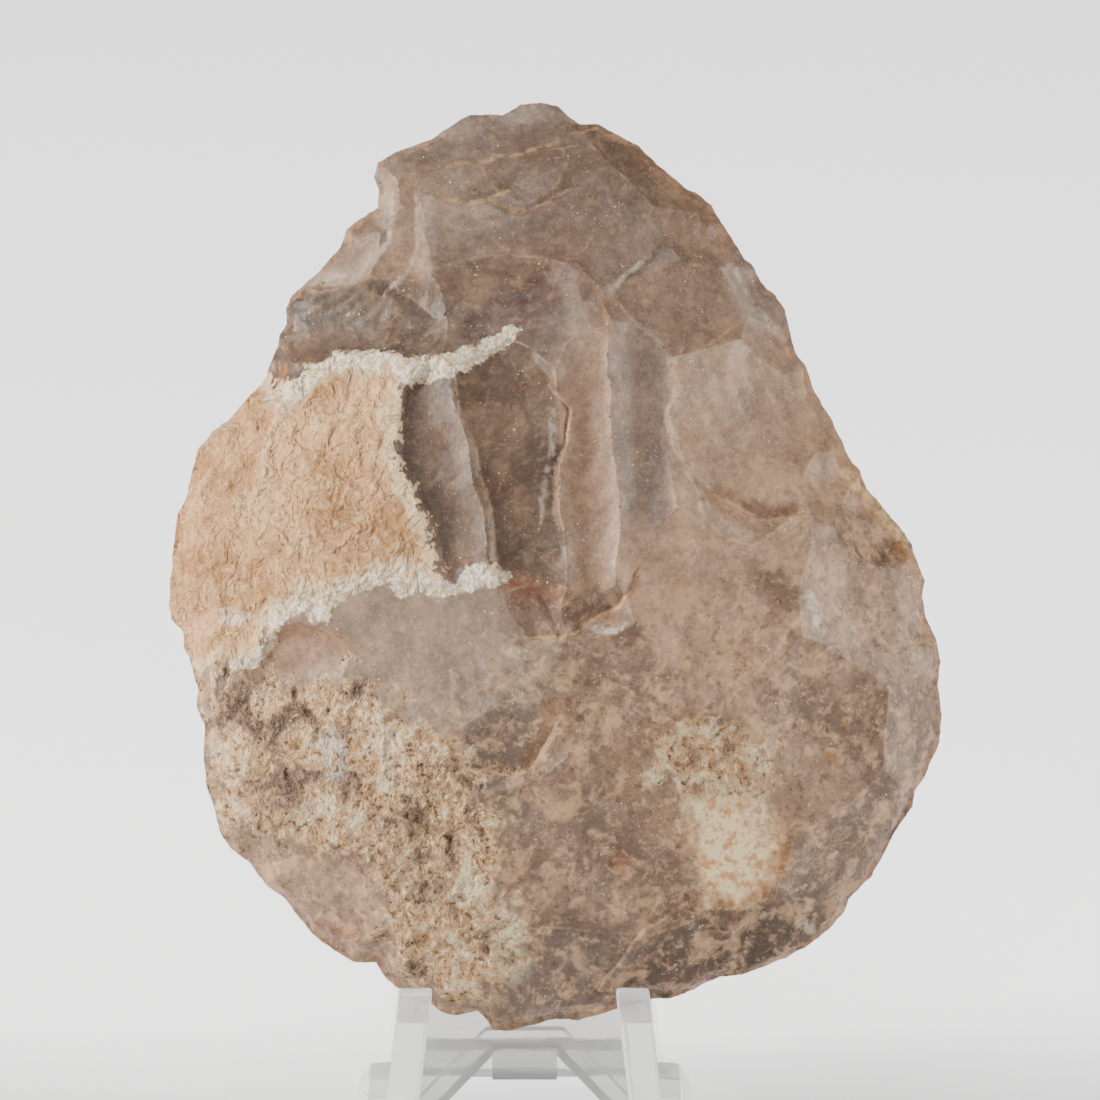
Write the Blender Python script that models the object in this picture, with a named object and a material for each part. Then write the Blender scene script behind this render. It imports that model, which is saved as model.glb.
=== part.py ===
"""A flaked flint hand axe standing in a small clear moulded easel."""
import math

import bmesh
import bpy
import numpy as np
from mathutils import Matrix, Vector
from mathutils.geometry import delaunay_2d_cdt

# Driving sizes of the axe, in metres and degrees
AXE_LENGTH = 0.1355
FRONT_BULGE = 0.0190
BACK_BULGE = 0.0175
LEAN = 17.0
FRONT_CELL = 0.00225
BACK_CELL = 0.0030
RIM_CELL = 0.0026
RIM_SLOPE = 1.7
RIM_WAVE = 0.0013

# Driving sizes of the easel, in metres and degrees
FIT_GAP = 0.0003
SADDLE_HEIGHT = 0.0220
LIP_HEIGHT = 0.0056
LIP_THICKNESS = 0.0030
SUPPORT_HEIGHT = 0.0580
SUPPORT_LEAN = 25.0
POST_LEFT = -0.0206
POST_RIGHT = 0.0118
RIB_WIDTH = 0.0048
RIB_SPLAY = 6.5
ARM_THICKNESS = 0.0040
PANEL_THICKNESS = 0.0028
PANEL_SETBACK = 0.0005
ARCH_HEIGHT = 0.0132
ARCH_TOP = 0.0095
ARCH_MARGIN = 0.0004
ARCH_BAND = 0.0024
ARCH_DEPTH = 0.0052
TAB_DROP = 0.0032
FOOT_BACK = 0.0430
FOOT_PAD = 0.0090
FOOT_RELIEF = 0.0020
FLANGE_REACH = 0.0042
FLANGE_HEIGHT = 0.0100
FLANGE_SETBACK = 0.0045
CROSSBAR_HEIGHT = 0.0030
CROSSBAR_DEPTH = 0.0060
MOULD_ROUND = 0.0005
WELD_OVERLAP = 0.0010

# Shares of the side feet's reach that their chamfers take off, and the heights of those corners
FLANGE_CHAMFERS = [(0.2, 0.7), (0.6, 0.96)]
LIP_STEPS = 4

# Angles in degrees above which an edge is shaded sharp, or gets the moulded round
SHARP_STONE = 22.0
SHARP_PLASTIC = 40.0
ROUNDED_ABOVE = 30.0

# The rim seen square on, clockwise from the tip, in percent of the length:
# across from the middle, then up from the lowest point
RIM = [
    (-3.8, 99.9), (-1.6, 100.1), (0.3, 99.9), (1.4, 98.7), (2.7, 97.8), (4.7, 97.8), (6.6, 96.7),
    (8.9, 95.6), (11.3, 93.2), (14.1, 90.8), (15.9, 89.9), (16.9, 88.9), (18.0, 87.0), (19.2, 85.2),
    (20.4, 83.2), (21.4, 82.3), (22.3, 80.5), (23.8, 79.1), (24.9, 77.5), (25.3, 75.5), (25.9, 73.1),
    (27.0, 71.6), (28.1, 68.6), (29.6, 66.1), (30.6, 64.1), (31.7, 61.5), (32.9, 60.1), (33.7, 58.1),
    (35.5, 55.9), (37.0, 54.1), (38.3, 52.4), (39.0, 50.2), (39.8, 48.2), (39.5, 46.6), (39.9, 44.3),
    (41.0, 41.9), (41.5, 39.6), (41.2, 37.0), (41.6, 33.9), (41.5, 30.9), (40.5, 28.8), (39.6, 26.9),
    (38.7, 25.6), (38.4, 23.9), (37.0, 22.0), (35.8, 19.8), (33.9, 16.3), (31.5, 14.0), (31.1, 12.7),
    (29.6, 11.0), (27.4, 9.1), (24.8, 7.7), (22.5, 6.7), (20.1, 5.9), (17.7, 5.7), (14.9, 4.3),
    (12.5, 3.4), (10.2, 3.3), (8.1, 2.8), (5.9, 2.0), (2.5, 1.0), (0.1, 1.2), (-2.5, 0.5), (-5.1, -0.1),
    (-6.6, 0.1), (-7.4, 1.1), (-8.3, 1.9), (-10.5, 1.5), (-12.0, 1.9), (-13.4, 2.9), (-15.4, 4.1),
    (-17.1, 4.6), (-18.3, 5.8), (-19.2, 7.1), (-21.6, 7.3), (-23.7, 8.6), (-25.7, 9.9), (-27.2, 11.8),
    (-29.1, 14.2), (-31.1, 15.6), (-32.6, 17.8), (-34.9, 19.4), (-35.8, 20.9), (-36.6, 23.9),
    (-37.4, 26.2), (-37.7, 29.0), (-37.7, 32.8), (-38.5, 34.6), (-38.4, 36.3), (-39.0, 38.9),
    (-39.9, 41.1), (-40.0, 42.7), (-41.3, 44.1), (-41.6, 45.7), (-41.4, 48.4), (-41.0, 52.2),
    (-40.6, 55.3), (-39.7, 57.0), (-39.2, 59.4), (-38.4, 62.3), (-37.1, 64.2), (-35.1, 65.6),
    (-33.2, 67.8), (-31.3, 69.9), (-29.9, 73.5), (-29.7, 74.9), (-28.9, 76.0), (-29.0, 77.5),
    (-28.5, 78.8), (-25.7, 81.4), (-23.1, 84.2), (-22.5, 86.2), (-19.1, 88.6), (-19.0, 90.5),
    (-19.5, 91.8), (-19.1, 93.4), (-17.3, 94.5), (-13.4, 96.0), (-11.1, 97.6), (-9.1, 98.8),
    (-5.6, 98.8),
]

# Flake scars of the front face, in percent of the length: middle across, middle up,
# turn of the long axis in degrees, half length, half width, sink at the border, hollow below it
FRONT_SCARS = [
    (-5.9, 97.6, 13, 13.4, 4.3, 0.43, 0.97),
    (0.5, 87.6, 6, 11.3, 5.6, 0.43, 0.86),
    (-7.5, 87.6, 8, 9.7, 5.6, 0.43, 0.86),
    (-3.3, 90.1, 0, 4.9, 2.9, 1.08, 0.43),
    (-22.0, 83.7, 52, 5.4, 2.9, 0.43, 0.75),
    (-15.8, 85.2, 74, 5.9, 3.2, 0.43, 0.75),
    (-20.8, 75.8, 4, 9.0, 4.1, 0.43, 0.86),
    (-16.1, 75.7, -10, 4.1, 3.1, 1.08, 0.43),
    (-4.6, 76.3, -5, 8.6, 7.1, 0.43, 0.97),
    (7.2, 83.9, -25, 5.9, 4.5, 0.43, 0.75),
    (10.8, 91.6, -44, 6.7, 3.5, 0.43, 0.86),
    (13.4, 85.8, -30, 4.8, 2.8, 0.43, 0.65),
    (13.4, 77.2, -12, 7.3, 4.5, 0.54, 0.86),
    (22.7, 78.9, -50, 4.1, 3.0, 0.54, 0.86),
    (23.5, 72.9, -40, 4.5, 2.8, 0.43, 0.65),
    (9.1, 64.5, -88, 12.9, 3.1, 0.43, 0.86),
    (3.1, 59.7, -88, 15.1, 2.9, 0.43, 0.75),
    (-4.3, 63.4, -84, 18.3, 5.1, 0.43, 1.08),
    (-12.2, 59.1, -76, 13.4, 4.1, 0.43, 0.86),
    (19.7, 63.4, -85, 9.5, 8.3, 0.65, 1.18),
    (19.5, 60.4, -88, 9.2, 6.9, 0.43, 0.86),
    (27.6, 66.7, -78, 4.8, 4.0, 0.65, 0.86),
    (29.4, 58.1, -60, 3.9, 3.0, 0.43, 0.65),
    (33.7, 54.1, -62, 4.9, 2.9, 0.65, 0.86),
    (19.4, 43.5, -112, 8.8, 5.8, 0.43, 0.65),
    (11.8, 47.5, -82, 5.8, 3.9, 0.43, 0.54),
    (33.3, 43.9, -25, 8.2, 5.8, 0.43, 0.86),
    (28.0, 32.6, -100, 8.4, 6.7, 0.43, 0.97),
    (39.0, 31.4, -88, 5.9, 3.2, 0.54, 0.75),
    (32.3, 18.1, 52, 9.2, 5.2, 0.43, 0.97),
    (16.9, 28.5, -10, 6.7, 4.3, 0.32, 0.65),
    (18.6, 19.4, -80, 6.0, 4.5, 0.32, 0.54),
    (11.5, 15.3, -20, 4.1, 3.4, 0.43, 0.65),
    (19.4, 9.1, 16, 10.5, 3.7, 0.43, 0.86),
    (1.6, 6.7, 0, 7.5, 4.1, 0.43, 0.75),
    (2.2, 18.3, -10, 9.1, 7.5, 0.43, 0.75),
    (-12.4, 39.8, -9, 11.8, 7.1, 0.43, 0.97),
    (-26.9, 39.2, 10, 5.6, 2.9, 0.54, 0.75),
    (-35.8, 30.1, -86, 5.8, 2.8, 0.43, 0.75),
    (-24.2, 27.4, -35, 12.9, 7.7, 0.32, 0.43),
    (-12.4, 17.2, -55, 11.8, 7.5, 0.32, 0.43),
    (-25.3, 14.7, -30, 8.1, 3.7, 0.43, 0.75),
    (5.4, 35.5, -15, 6.5, 5.4, 0.43, 0.75),
    (-4.8, 30.1, 28, 5.1, 3.9, 0.65, 0.97),
    (-2.2, 43.9, -80, 3.9, 2.8, 0.43, 0.65),
    (3.8, 43.5, 0, 3.7, 2.6, 0.43, 0.65),
    (10.2, 24.2, -20, 5.4, 4.5, 0.32, 0.54),
    (24.2, 25.8, -20, 4.3, 3.2, 0.43, 0.54),
]

# The patch of natural rind left on the front face, standing proud of the scars around it
RIND = [
    (-44.6, 41.9), (-44.6, 69.9), (-31.5, 70.8), (-29.2, 68.8), (-27.6, 69.6), (-26.1, 71.2),
    (-22.6, 72.5), (-17.2, 71.8), (-14.0, 70.4), (-16.2, 67.7), (-16.5, 61.3), (-14.7, 57.0),
    (-12.8, 52.7), (-11.7, 48.4), (-10.2, 47.1), (-15.6, 47.3), (-18.3, 47.5), (-22.0, 46.0),
    (-27.4, 45.2), (-30.9, 42.8), (-31.5, 40.3), (-33.9, 38.9), (-39.2, 38.2), (-43.5, 39.8),
]
RIND_RISE = 0.10
RIND_STEP = 1.0
RIND_OVERLAP = 0.7
RIND_CLEARANCE = 1.0

# The plain back: a ring of long scars struck from the rim, and a few across the middle
BACK_RING_COUNT = 13
BACK_RING_REACH = 0.66
BACK_RING_SIZE = (17.0, 9.5)
BACK_RING_SINK = (0.40, 1.30)
BACK_SEED = 7
BACK_TURN_JITTER = 0.2
BACK_SIZE_JITTER = (0.85, 1.12)
BACK_TILT_JITTER = 14.0
BACK_MIDDLE_SCARS = [
    (-6.0, 55.0, 70, 17.0, 10.0, 0.40, 0.80),
    (8.0, 40.0, 20, 15.0, 10.0, 0.40, 0.80),
]

# Shape of the unflaked blank: the middle, the kept waves of the rim's reach and the fall to the rim
BLANK_MIDDLE = (0.0, 47.3)
BLANK_WAVES = 6
BLANK_OVERREACH = 1.06
BLANK_POWER = 2.4
UNFLAKED_RISE = 0.32
PERCENT = AXE_LENGTH / 100.0

# Waves round the rim, each a height, a count and a start: in the edge's slope, and in its winding
SLOPE_WAVES = [(0.16, 5, 1.0), (0.12, 11, 2.0)]
WINDING_WAVES = [(0.6, 3, 0.7), (0.4, 7, 0.0)]
WINDING_REACH = 50.0

# The lattice of points that carries a face, in percent of the length or in shares of a cell
LATTICE_LOW = -2.0
LATTICE_HIGH = 102.0
LATTICE_SIDE = 44.0
RIM_KEEP = 0.55
RIDGE_SNAP = 0.42
RIDGE_ROUNDS = 4
TRIANGLE_MARGIN = 0.001
CHORD_ROUNDS = 5


def clear_scene():
    """Start from an empty scene."""
    for thing in list(bpy.data.objects):
        bpy.data.objects.remove(thing, do_unlink=True)


def plain_material(name, colour, roughness, transmission=0.0):
    """One surface: linear colour, roughness and how much light passes through."""
    material = bpy.data.materials.new(name)
    material.use_nodes = True
    shader = material.node_tree.nodes["Principled BSDF"]
    shader.inputs["Base Color"].default_value = (*colour, 1.0)
    shader.inputs["Roughness"].default_value = roughness
    shader.inputs["Metallic"].default_value = 0.0
    shader.inputs["Transmission Weight"].default_value = transmission
    material.diffuse_color = (*colour, 1.0)
    return material


def object_from_bmesh(name, mesh_data, material):
    """Turn a bmesh into a named object in the scene."""
    bmesh.ops.recalc_face_normals(mesh_data, faces=mesh_data.faces)
    mesh = bpy.data.meshes.new(name)
    mesh_data.to_mesh(mesh)
    mesh_data.free()
    mesh.materials.append(material)
    thing = bpy.data.objects.new(name, mesh)
    bpy.context.scene.collection.objects.link(thing)
    return thing


def signed_distance(x, y, outline):
    """Distance to a closed outline, positive inside it."""
    corners = np.array(outline, float)
    ends = np.roll(corners, -1, axis=0)
    nearest = np.full(x.shape, np.inf)
    inside = np.zeros(x.shape, bool)
    for start, end in zip(corners, ends):
        run = end - start
        share = np.clip(((x - start[0]) * run[0] + (y - start[1]) * run[1]) / (run @ run), 0.0, 1.0)
        gap = np.hypot(x - start[0] - share * run[0], y - start[1] - share * run[1])
        nearest = np.minimum(nearest, gap)
        if start[1] != end[1]:
            crossing = start[0] + (y - start[1]) / run[1] * run[0]
            inside ^= ((start[1] <= y) != (end[1] <= y)) & (x < crossing)
    return np.where(inside, nearest, -nearest)


def smooth_reach(outline, steps=512):
    """Distance from the blank's middle to the rim by direction, without its small notches."""
    corners = np.array(outline + outline[:1], float)
    along = np.concatenate([[0.0], np.cumsum(np.hypot(*np.diff(corners, axis=0).T))])
    places = np.linspace(0.0, along[-1], 4 * steps, endpoint=False)
    x = np.interp(places, along, corners[:, 0]) - BLANK_MIDDLE[0]
    y = np.interp(places, along, corners[:, 1]) - BLANK_MIDDLE[1]
    turns = np.linspace(-math.pi, math.pi, steps, endpoint=False)
    reach = np.interp(turns, np.arctan2(y, x), np.hypot(x, y), period=2.0 * math.pi)
    waves = np.fft.rfft(reach)
    waves[BLANK_WAVES:] = 0.0
    return turns, np.fft.irfft(waves, steps)


def blank_height(x, y, bulge):
    """Height of the lens-shaped blank above the middle plane, in metres."""
    turns, reach = smooth_reach(RIM)
    away_x = x - BLANK_MIDDLE[0]
    away_y = y - BLANK_MIDDLE[1]
    limit = np.interp(np.arctan2(away_y, away_x), turns, reach, period=2.0 * math.pi)
    share = np.hypot(away_x, away_y) / (limit * BLANK_OVERREACH)
    return bulge * (1.0 - share ** BLANK_POWER)


def scar_sink(x, y, scars, which):
    """Sink of the chosen scar at each point, and its slope across and up, in percent."""
    rows = np.array(scars, float)[which]
    turn = np.radians(rows[..., 2])
    along_x = np.cos(turn)
    along_y = np.sin(turn)
    along = (x - rows[..., 0]) * along_x + (y - rows[..., 1]) * along_y
    aside = (y - rows[..., 1]) * along_x - (x - rows[..., 0]) * along_y
    hollow = rows[..., 6]
    sink = rows[..., 5] + hollow * (1.0 - (along / rows[..., 3]) ** 2 - (aside / rows[..., 4]) ** 2)
    fall_along = -2.0 * hollow * along / rows[..., 3] ** 2
    fall_aside = -2.0 * hollow * aside / rows[..., 4] ** 2
    slope_x = fall_along * along_x - fall_aside * along_y
    slope_y = fall_along * along_y + fall_aside * along_x
    return sink, slope_x, slope_y


def deepest_scars(x, y, scars):
    """The deepest and the second deepest scar at each point."""
    each = np.arange(len(scars))[:, None] * np.ones(x.shape, int)[None, :]
    sinks = scar_sink(x[None, :], y[None, :], scars, each)[0]
    order = np.argsort(-sinks, axis=0)
    return order[0], order[1], np.take_along_axis(sinks, order[:1], axis=0)[0]


def waves_round(turn, waves):
    """Sum of waves round the rim in one direction from the middle."""
    return sum(height * np.sin(count * turn + start) for height, count, start in waves)


def face_height(x, y, scars, bulge, rind):
    """Height of one face above the middle plane: blank, scars, rind and rim, whichever is lowest."""
    sink = np.maximum(deepest_scars(x, y, scars)[2], -UNFLAKED_RISE)
    if rind:
        share = np.clip(signed_distance(x, y, rind) / RIND_STEP + RIND_OVERLAP, 0.0, 1.0)
        share = share * share * (3.0 - 2.0 * share)
        sink = sink * (1.0 - share) - RIND_RISE * share
    body = blank_height(x, y, bulge) - sink * PERCENT
    turn = np.arctan2(y - BLANK_MIDDLE[1], x - BLANK_MIDDLE[0])
    slope = RIM_SLOPE * (1.0 + waves_round(turn, SLOPE_WAVES))
    rim = slope * np.maximum(signed_distance(x, y, RIM), 0.0) * PERCENT
    return np.minimum(body, rim)


def middle_plane(x, y):
    """The slightly winding surface that both faces meet on at the rim, in metres."""
    turn = np.arctan2(y - BLANK_MIDDLE[1], x - BLANK_MIDDLE[0])
    away = np.hypot(x - BLANK_MIDDLE[0], y - BLANK_MIDDLE[1]) / WINDING_REACH
    return RIM_WAVE * away ** 2 * waves_round(turn, WINDING_WAVES)


def rim_points(cell):
    """The rim's corners with even steps between them, no longer than one cell."""
    points = []
    for start, end in zip(RIM, RIM[1:] + RIM[:1]):
        steps = max(1, math.ceil(math.dist(start, end) * PERCENT / cell))
        for step in range(steps):
            share = step / steps
            points.append((start[0] + (end[0] - start[0]) * share, start[1] + (end[1] - start[1]) * share))
    return np.array(points)


def inner_points(cell, scars, rind):
    """A triangular lattice inside the rim, with points near a ridge moved onto it."""
    side = cell / PERCENT
    row_height = side * math.sqrt(3.0) / 2.0
    rows = np.arange(LATTICE_LOW, LATTICE_HIGH, row_height)
    points = []
    for index, height in enumerate(rows):
        shift = 0.5 * side * (index % 2)
        for across in np.arange(-LATTICE_SIDE, LATTICE_SIDE, side):
            points.append((across + shift, height))
    x, y = np.array(points).T
    keep = signed_distance(x, y, RIM) > RIM_KEEP * side
    x, y = x[keep], y[keep]
    first, second, _ = deepest_scars(x, y, scars)
    new_x, new_y = x.copy(), y.copy()
    for _ in range(RIDGE_ROUNDS):
        sink_a, run_a, rise_a = scar_sink(new_x, new_y, scars, first)
        sink_b, run_b, rise_b = scar_sink(new_x, new_y, scars, second)
        gap = sink_a - sink_b
        slope_x, slope_y = run_a - run_b, rise_a - rise_b
        scale = gap / np.maximum(slope_x ** 2 + slope_y ** 2, 1e-9)
        new_x, new_y = new_x - scale * slope_x, new_y - scale * slope_y
    moved = np.hypot(new_x - x, new_y - y) < RIDGE_SNAP * side
    moved &= signed_distance(new_x, new_y, RIM) > RIM_KEEP * side
    if rind:
        moved &= signed_distance(x, y, rind) < -RIND_CLEARANCE
    x, y = np.where(moved, new_x, x), np.where(moved, new_y, y)
    return np.stack([x, y], axis=1)


def triangulated(rim, inner):
    """Triangles that fill the rim through the inner points."""
    places = np.vstack([rim, inner])
    border = list(range(len(rim)))
    edges = list(zip(border, border[1:] + border[:1]))
    result = delaunay_2d_cdt([Vector(place) for place in places], edges, [], 0, 1e-7, True)
    sources = result[3]
    triangles = np.array([[sources[corner][0] for corner in face] for face in result[2]])
    x, y = places[triangles].mean(axis=1).T
    return triangles[signed_distance(x, y, RIM) > TRIANGLE_MARGIN]


def rim_chords(triangles, count):
    """Edges that run straight from one rim point to another across the face."""
    chords = set()
    for triangle in triangles.tolist():
        for start, end in zip(triangle, triangle[1:] + triangle[:1]):
            if max(start, end) < count and (start - end) % count not in (1, count - 1):
                chords.add((min(start, end), max(start, end)))
    return sorted(chords)


def filled_face(rim, inner):
    """Triangles and inner points, with each chord of the rim broken by a point of its own."""
    triangles = triangulated(rim, inner)
    for _ in range(CHORD_ROUNDS):
        middles = [(rim[start] + rim[end]) / 2 for start, end in rim_chords(triangles, len(rim))]
        if not middles:
            break
        inner = np.vstack([inner, middles])
        triangles = triangulated(rim, inner)
    return triangles, inner


def add_face(mesh_data, rim, rim_vertices, cell, scars, bulge, rind, side):
    """Add one face of the axe to the mesh, sharing the rim's vertices."""
    triangles, inner = filled_face(rim, inner_points(cell, scars, rind))
    height = side * face_height(inner[:, 0], inner[:, 1], scars, bulge, rind)
    height = height + middle_plane(inner[:, 0], inner[:, 1])
    vertices = list(rim_vertices)
    for (across, up), out in zip(inner, height):
        vertices.append(mesh_data.verts.new((across * PERCENT, -out, up * PERCENT)))
    for corners in triangles:
        mesh_data.faces.new([vertices[corner] for corner in corners])


def back_scars():
    """The back's scars: a ring struck inward from the rim, then the middle ones."""
    turns, reach = smooth_reach(RIM)
    jitter = np.random.default_rng(BACK_SEED)
    scars = []
    for index in range(BACK_RING_COUNT):
        place = index + jitter.uniform(-BACK_TURN_JITTER, BACK_TURN_JITTER)
        turn = 2.0 * math.pi * place / BACK_RING_COUNT - math.pi
        away = np.interp(turn, turns, reach, period=2.0 * math.pi) * BACK_RING_REACH
        length, width = np.array(BACK_RING_SIZE) * jitter.uniform(*BACK_SIZE_JITTER, 2)
        across = BLANK_MIDDLE[0] + away * math.cos(turn)
        up = BLANK_MIDDLE[1] + away * math.sin(turn)
        tilt = math.degrees(turn) + jitter.uniform(-BACK_TILT_JITTER, BACK_TILT_JITTER)
        scars.append((across, up, tilt, length, width, *BACK_RING_SINK))
    return scars + BACK_MIDDLE_SCARS


def make_axe(material):
    """The flint: two flaked faces that meet at the rim, leaned back and set on the saddles."""
    mesh_data = bmesh.new()
    rim = rim_points(RIM_CELL)
    out = middle_plane(rim[:, 0], rim[:, 1])
    rim_vertices = []
    for (across, up), winding in zip(rim, out):
        rim_vertices.append(mesh_data.verts.new((across * PERCENT, -winding, up * PERCENT)))
    add_face(mesh_data, rim, rim_vertices, FRONT_CELL, FRONT_SCARS, FRONT_BULGE, RIND, 1.0)
    add_face(mesh_data, rim, rim_vertices, BACK_CELL, back_scars(), BACK_BULGE, None, -1.0)
    lean = Matrix.Rotation(-math.radians(LEAN), 4, "X")
    bmesh.ops.transform(mesh_data, matrix=lean, verts=mesh_data.verts)
    seat = min(low_point(mesh_data, post) for post in (POST_LEFT, POST_RIGHT))
    lift = Matrix.Translation((0.0, 0.0, SADDLE_HEIGHT + FIT_GAP - seat))
    bmesh.ops.transform(mesh_data, matrix=lift, verts=mesh_data.verts)
    axe = object_from_bmesh("hand_axe", mesh_data, material)
    axe.data.shade_smooth()
    axe.data.set_sharp_from_angle(angle=math.radians(SHARP_STONE))
    return axe


def low_point(mesh_data, post):
    """Lowest height of the stone over one post's saddle."""
    reach = RIB_WIDTH
    return min(vertex.co.z for vertex in mesh_data.verts if abs(vertex.co.x - post) < reach)


def cradle_sizes(axe):
    """Where the lips and the support stand so that they clear the stone by the fit gap."""
    places = np.array([vertex.co for vertex in axe.data.vertices])
    x, y, z = places.T
    near = (np.abs(x - POST_LEFT) < RIB_WIDTH) | (np.abs(x - POST_RIGHT) < RIB_WIDTH)
    low = near & (z < SADDLE_HEIGHT + LIP_HEIGHT + RIM_CELL)
    lip_back = y[low].min() - FIT_GAP
    between = (x > POST_LEFT - RIB_WIDTH) & (x < POST_RIGHT + RIB_WIDTH)
    between &= z < SUPPORT_HEIGHT + FRONT_CELL
    behind = y[between] - (z[between] - SADDLE_HEIGHT) * math.tan(math.radians(SUPPORT_LEAN))
    support_foot = behind.max() + FIT_GAP / math.cos(math.radians(SUPPORT_LEAN))
    return lip_back, support_foot


def prism(name, profile, place_point, material):
    """A closed prism: the profile placed once at each end by place_point(end, point)."""
    mesh_data = bmesh.new()
    ends = []
    for end in (-0.5, 0.5):
        ends.append([mesh_data.verts.new(place_point(end, point)) for point in profile])
    mesh_data.faces.new(ends[0])
    mesh_data.faces.new(ends[1])
    count = len(profile)
    for index in range(count):
        following = (index + 1) % count
        corners = (ends[0][index], ends[0][following], ends[1][following], ends[1][index])
        mesh_data.faces.new(corners)
    return object_from_bmesh(name, mesh_data, material)


def rounded(thing):
    """Break the moulded edges of a prism with a small round."""
    mesh_data = bmesh.new()
    mesh_data.from_mesh(thing.data)
    edges = [edge for edge in mesh_data.edges if edge.calc_face_angle() > math.radians(ROUNDED_ABOVE)]
    bmesh.ops.bevel(mesh_data, geom=edges, offset=MOULD_ROUND, segments=2, affect="EDGES", profile=0.5)
    mesh_data.to_mesh(thing.data)
    mesh_data.free()
    return thing


def support_line(height, support_foot):
    """Depth of the support's front at a height."""
    return support_foot + (height - SADDLE_HEIGHT) * math.tan(math.radians(SUPPORT_LEAN))


def rib_profile(lip_back, support_foot):
    """Side view of one rib: post, rounded lip, saddle, leaning arm and the back leg."""
    lip_front = lip_back - LIP_THICKNESS
    lip_top = SADDLE_HEIGHT + LIP_HEIGHT
    arm_back = ARM_THICKNESS / math.cos(math.radians(SUPPORT_LEAN))
    profile = [(lip_front, 0.0)]
    for step in range(LIP_STEPS + 1):
        turn = math.pi * step / LIP_STEPS
        middle = (lip_front + lip_back) / 2
        radius = LIP_THICKNESS / 2
        profile.append((middle - radius * math.cos(turn), lip_top - radius + radius * math.sin(turn)))
    profile += [
        (lip_back, SADDLE_HEIGHT),
        (support_foot, SADDLE_HEIGHT),
        (support_line(SUPPORT_HEIGHT, support_foot), SUPPORT_HEIGHT),
        (support_line(SUPPORT_HEIGHT, support_foot) + arm_back, SUPPORT_HEIGHT),
        (FOOT_BACK, FOOT_PAD),
        (FOOT_BACK, 0.0),
        (FOOT_BACK - FOOT_PAD, 0.0),
        (FOOT_BACK - FOOT_PAD - FOOT_RELIEF, FOOT_RELIEF),
        (lip_front + FOOT_PAD + FOOT_RELIEF, FOOT_RELIEF),
        (lip_front + FOOT_PAD, 0.0),
    ]
    return profile


def rib_middle(post, height):
    """Across position of a rib's middle: the ribs spread towards the floor."""
    middle = (POST_LEFT + POST_RIGHT) / 2
    side = math.copysign(1.0, post - middle)
    return post + side * (SADDLE_HEIGHT - height) * math.tan(math.radians(RIB_SPLAY))


def make_rib(name, post, lip_back, support_foot, material):
    """One side plate of the easel with its post and hook."""
    def place_point(end, point):
        return (rib_middle(post, point[1]) + end * RIB_WIDTH, point[0], point[1])
    return rounded(prism(name, rib_profile(lip_back, support_foot), place_point, material))


def make_flange(name, post, lip_back, material):
    """The chamfered foot on the outer side of a rib."""
    side = math.copysign(1.0, post - (POST_LEFT + POST_RIGHT) / 2)
    root = rib_middle(post, 0.0) - side * WELD_OVERLAP
    reach = WELD_OVERLAP + RIB_WIDTH / 2 + FLANGE_REACH
    profile = [(root, 0.0), (root + side * reach, 0.0)]
    for cut, height in FLANGE_CHAMFERS:
        profile.append((root + side * (reach - cut * FLANGE_REACH), height * FLANGE_HEIGHT))
    profile.append((root, FLANGE_HEIGHT))
    front = lip_back - LIP_THICKNESS + FLANGE_SETBACK
    back = front + 2.0 * FOOT_PAD

    def place_point(end, point):
        return (point[0], (front + back) / 2 + end * (back - front), point[1])
    return rounded(prism(name, profile, place_point, material))


def leaning_prism(name, profile, depth, support_foot, material):
    """A prism that leans with the panel, its front on the panel's front and its back a depth behind."""
    def place_point(end, point):
        front = support_line(point[1], support_foot) + PANEL_SETBACK
        return (point[0], front + (end + 0.5) * depth, point[1])
    return prism(name, profile, place_point, material)


def arch_sizes():
    """The arch's middle, the height of its feet, its half width there and the spread of its legs."""
    bottom = FOOT_RELIEF + 2.0 * MOULD_ROUND
    left, right = rib_middle(POST_LEFT, bottom), rib_middle(POST_RIGHT, bottom)
    half = (right - left) / 2 - RIB_WIDTH / 2 - ARCH_MARGIN
    spread = (half - ARCH_TOP / 2) / (ARCH_HEIGHT - bottom)
    return (left + right) / 2, bottom, half, spread


def make_panel(name, support_foot, material):
    """The leaning panel between the ribs: an arch with straight legs, and a tab under its flat top."""
    middle, bottom, half, _ = arch_sizes()
    top = SUPPORT_HEIGHT - 2.0 * MOULD_ROUND
    profile = [
        (rib_middle(POST_LEFT, bottom), bottom),
        (rib_middle(POST_LEFT, top), top),
        (rib_middle(POST_RIGHT, top), top),
        (rib_middle(POST_RIGHT, bottom), bottom),
        (middle + half, bottom),
        (middle + ARCH_TOP / 2, ARCH_HEIGHT),
        (middle + ARCH_TOP / 2, ARCH_HEIGHT - TAB_DROP),
        (middle - ARCH_TOP / 2, ARCH_HEIGHT - TAB_DROP),
        (middle - ARCH_TOP / 2, ARCH_HEIGHT),
        (middle - half, bottom),
    ]
    depth = PANEL_THICKNESS / math.cos(math.radians(SUPPORT_LEAN))
    return leaning_prism(name, profile, depth, support_foot, material)


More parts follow.
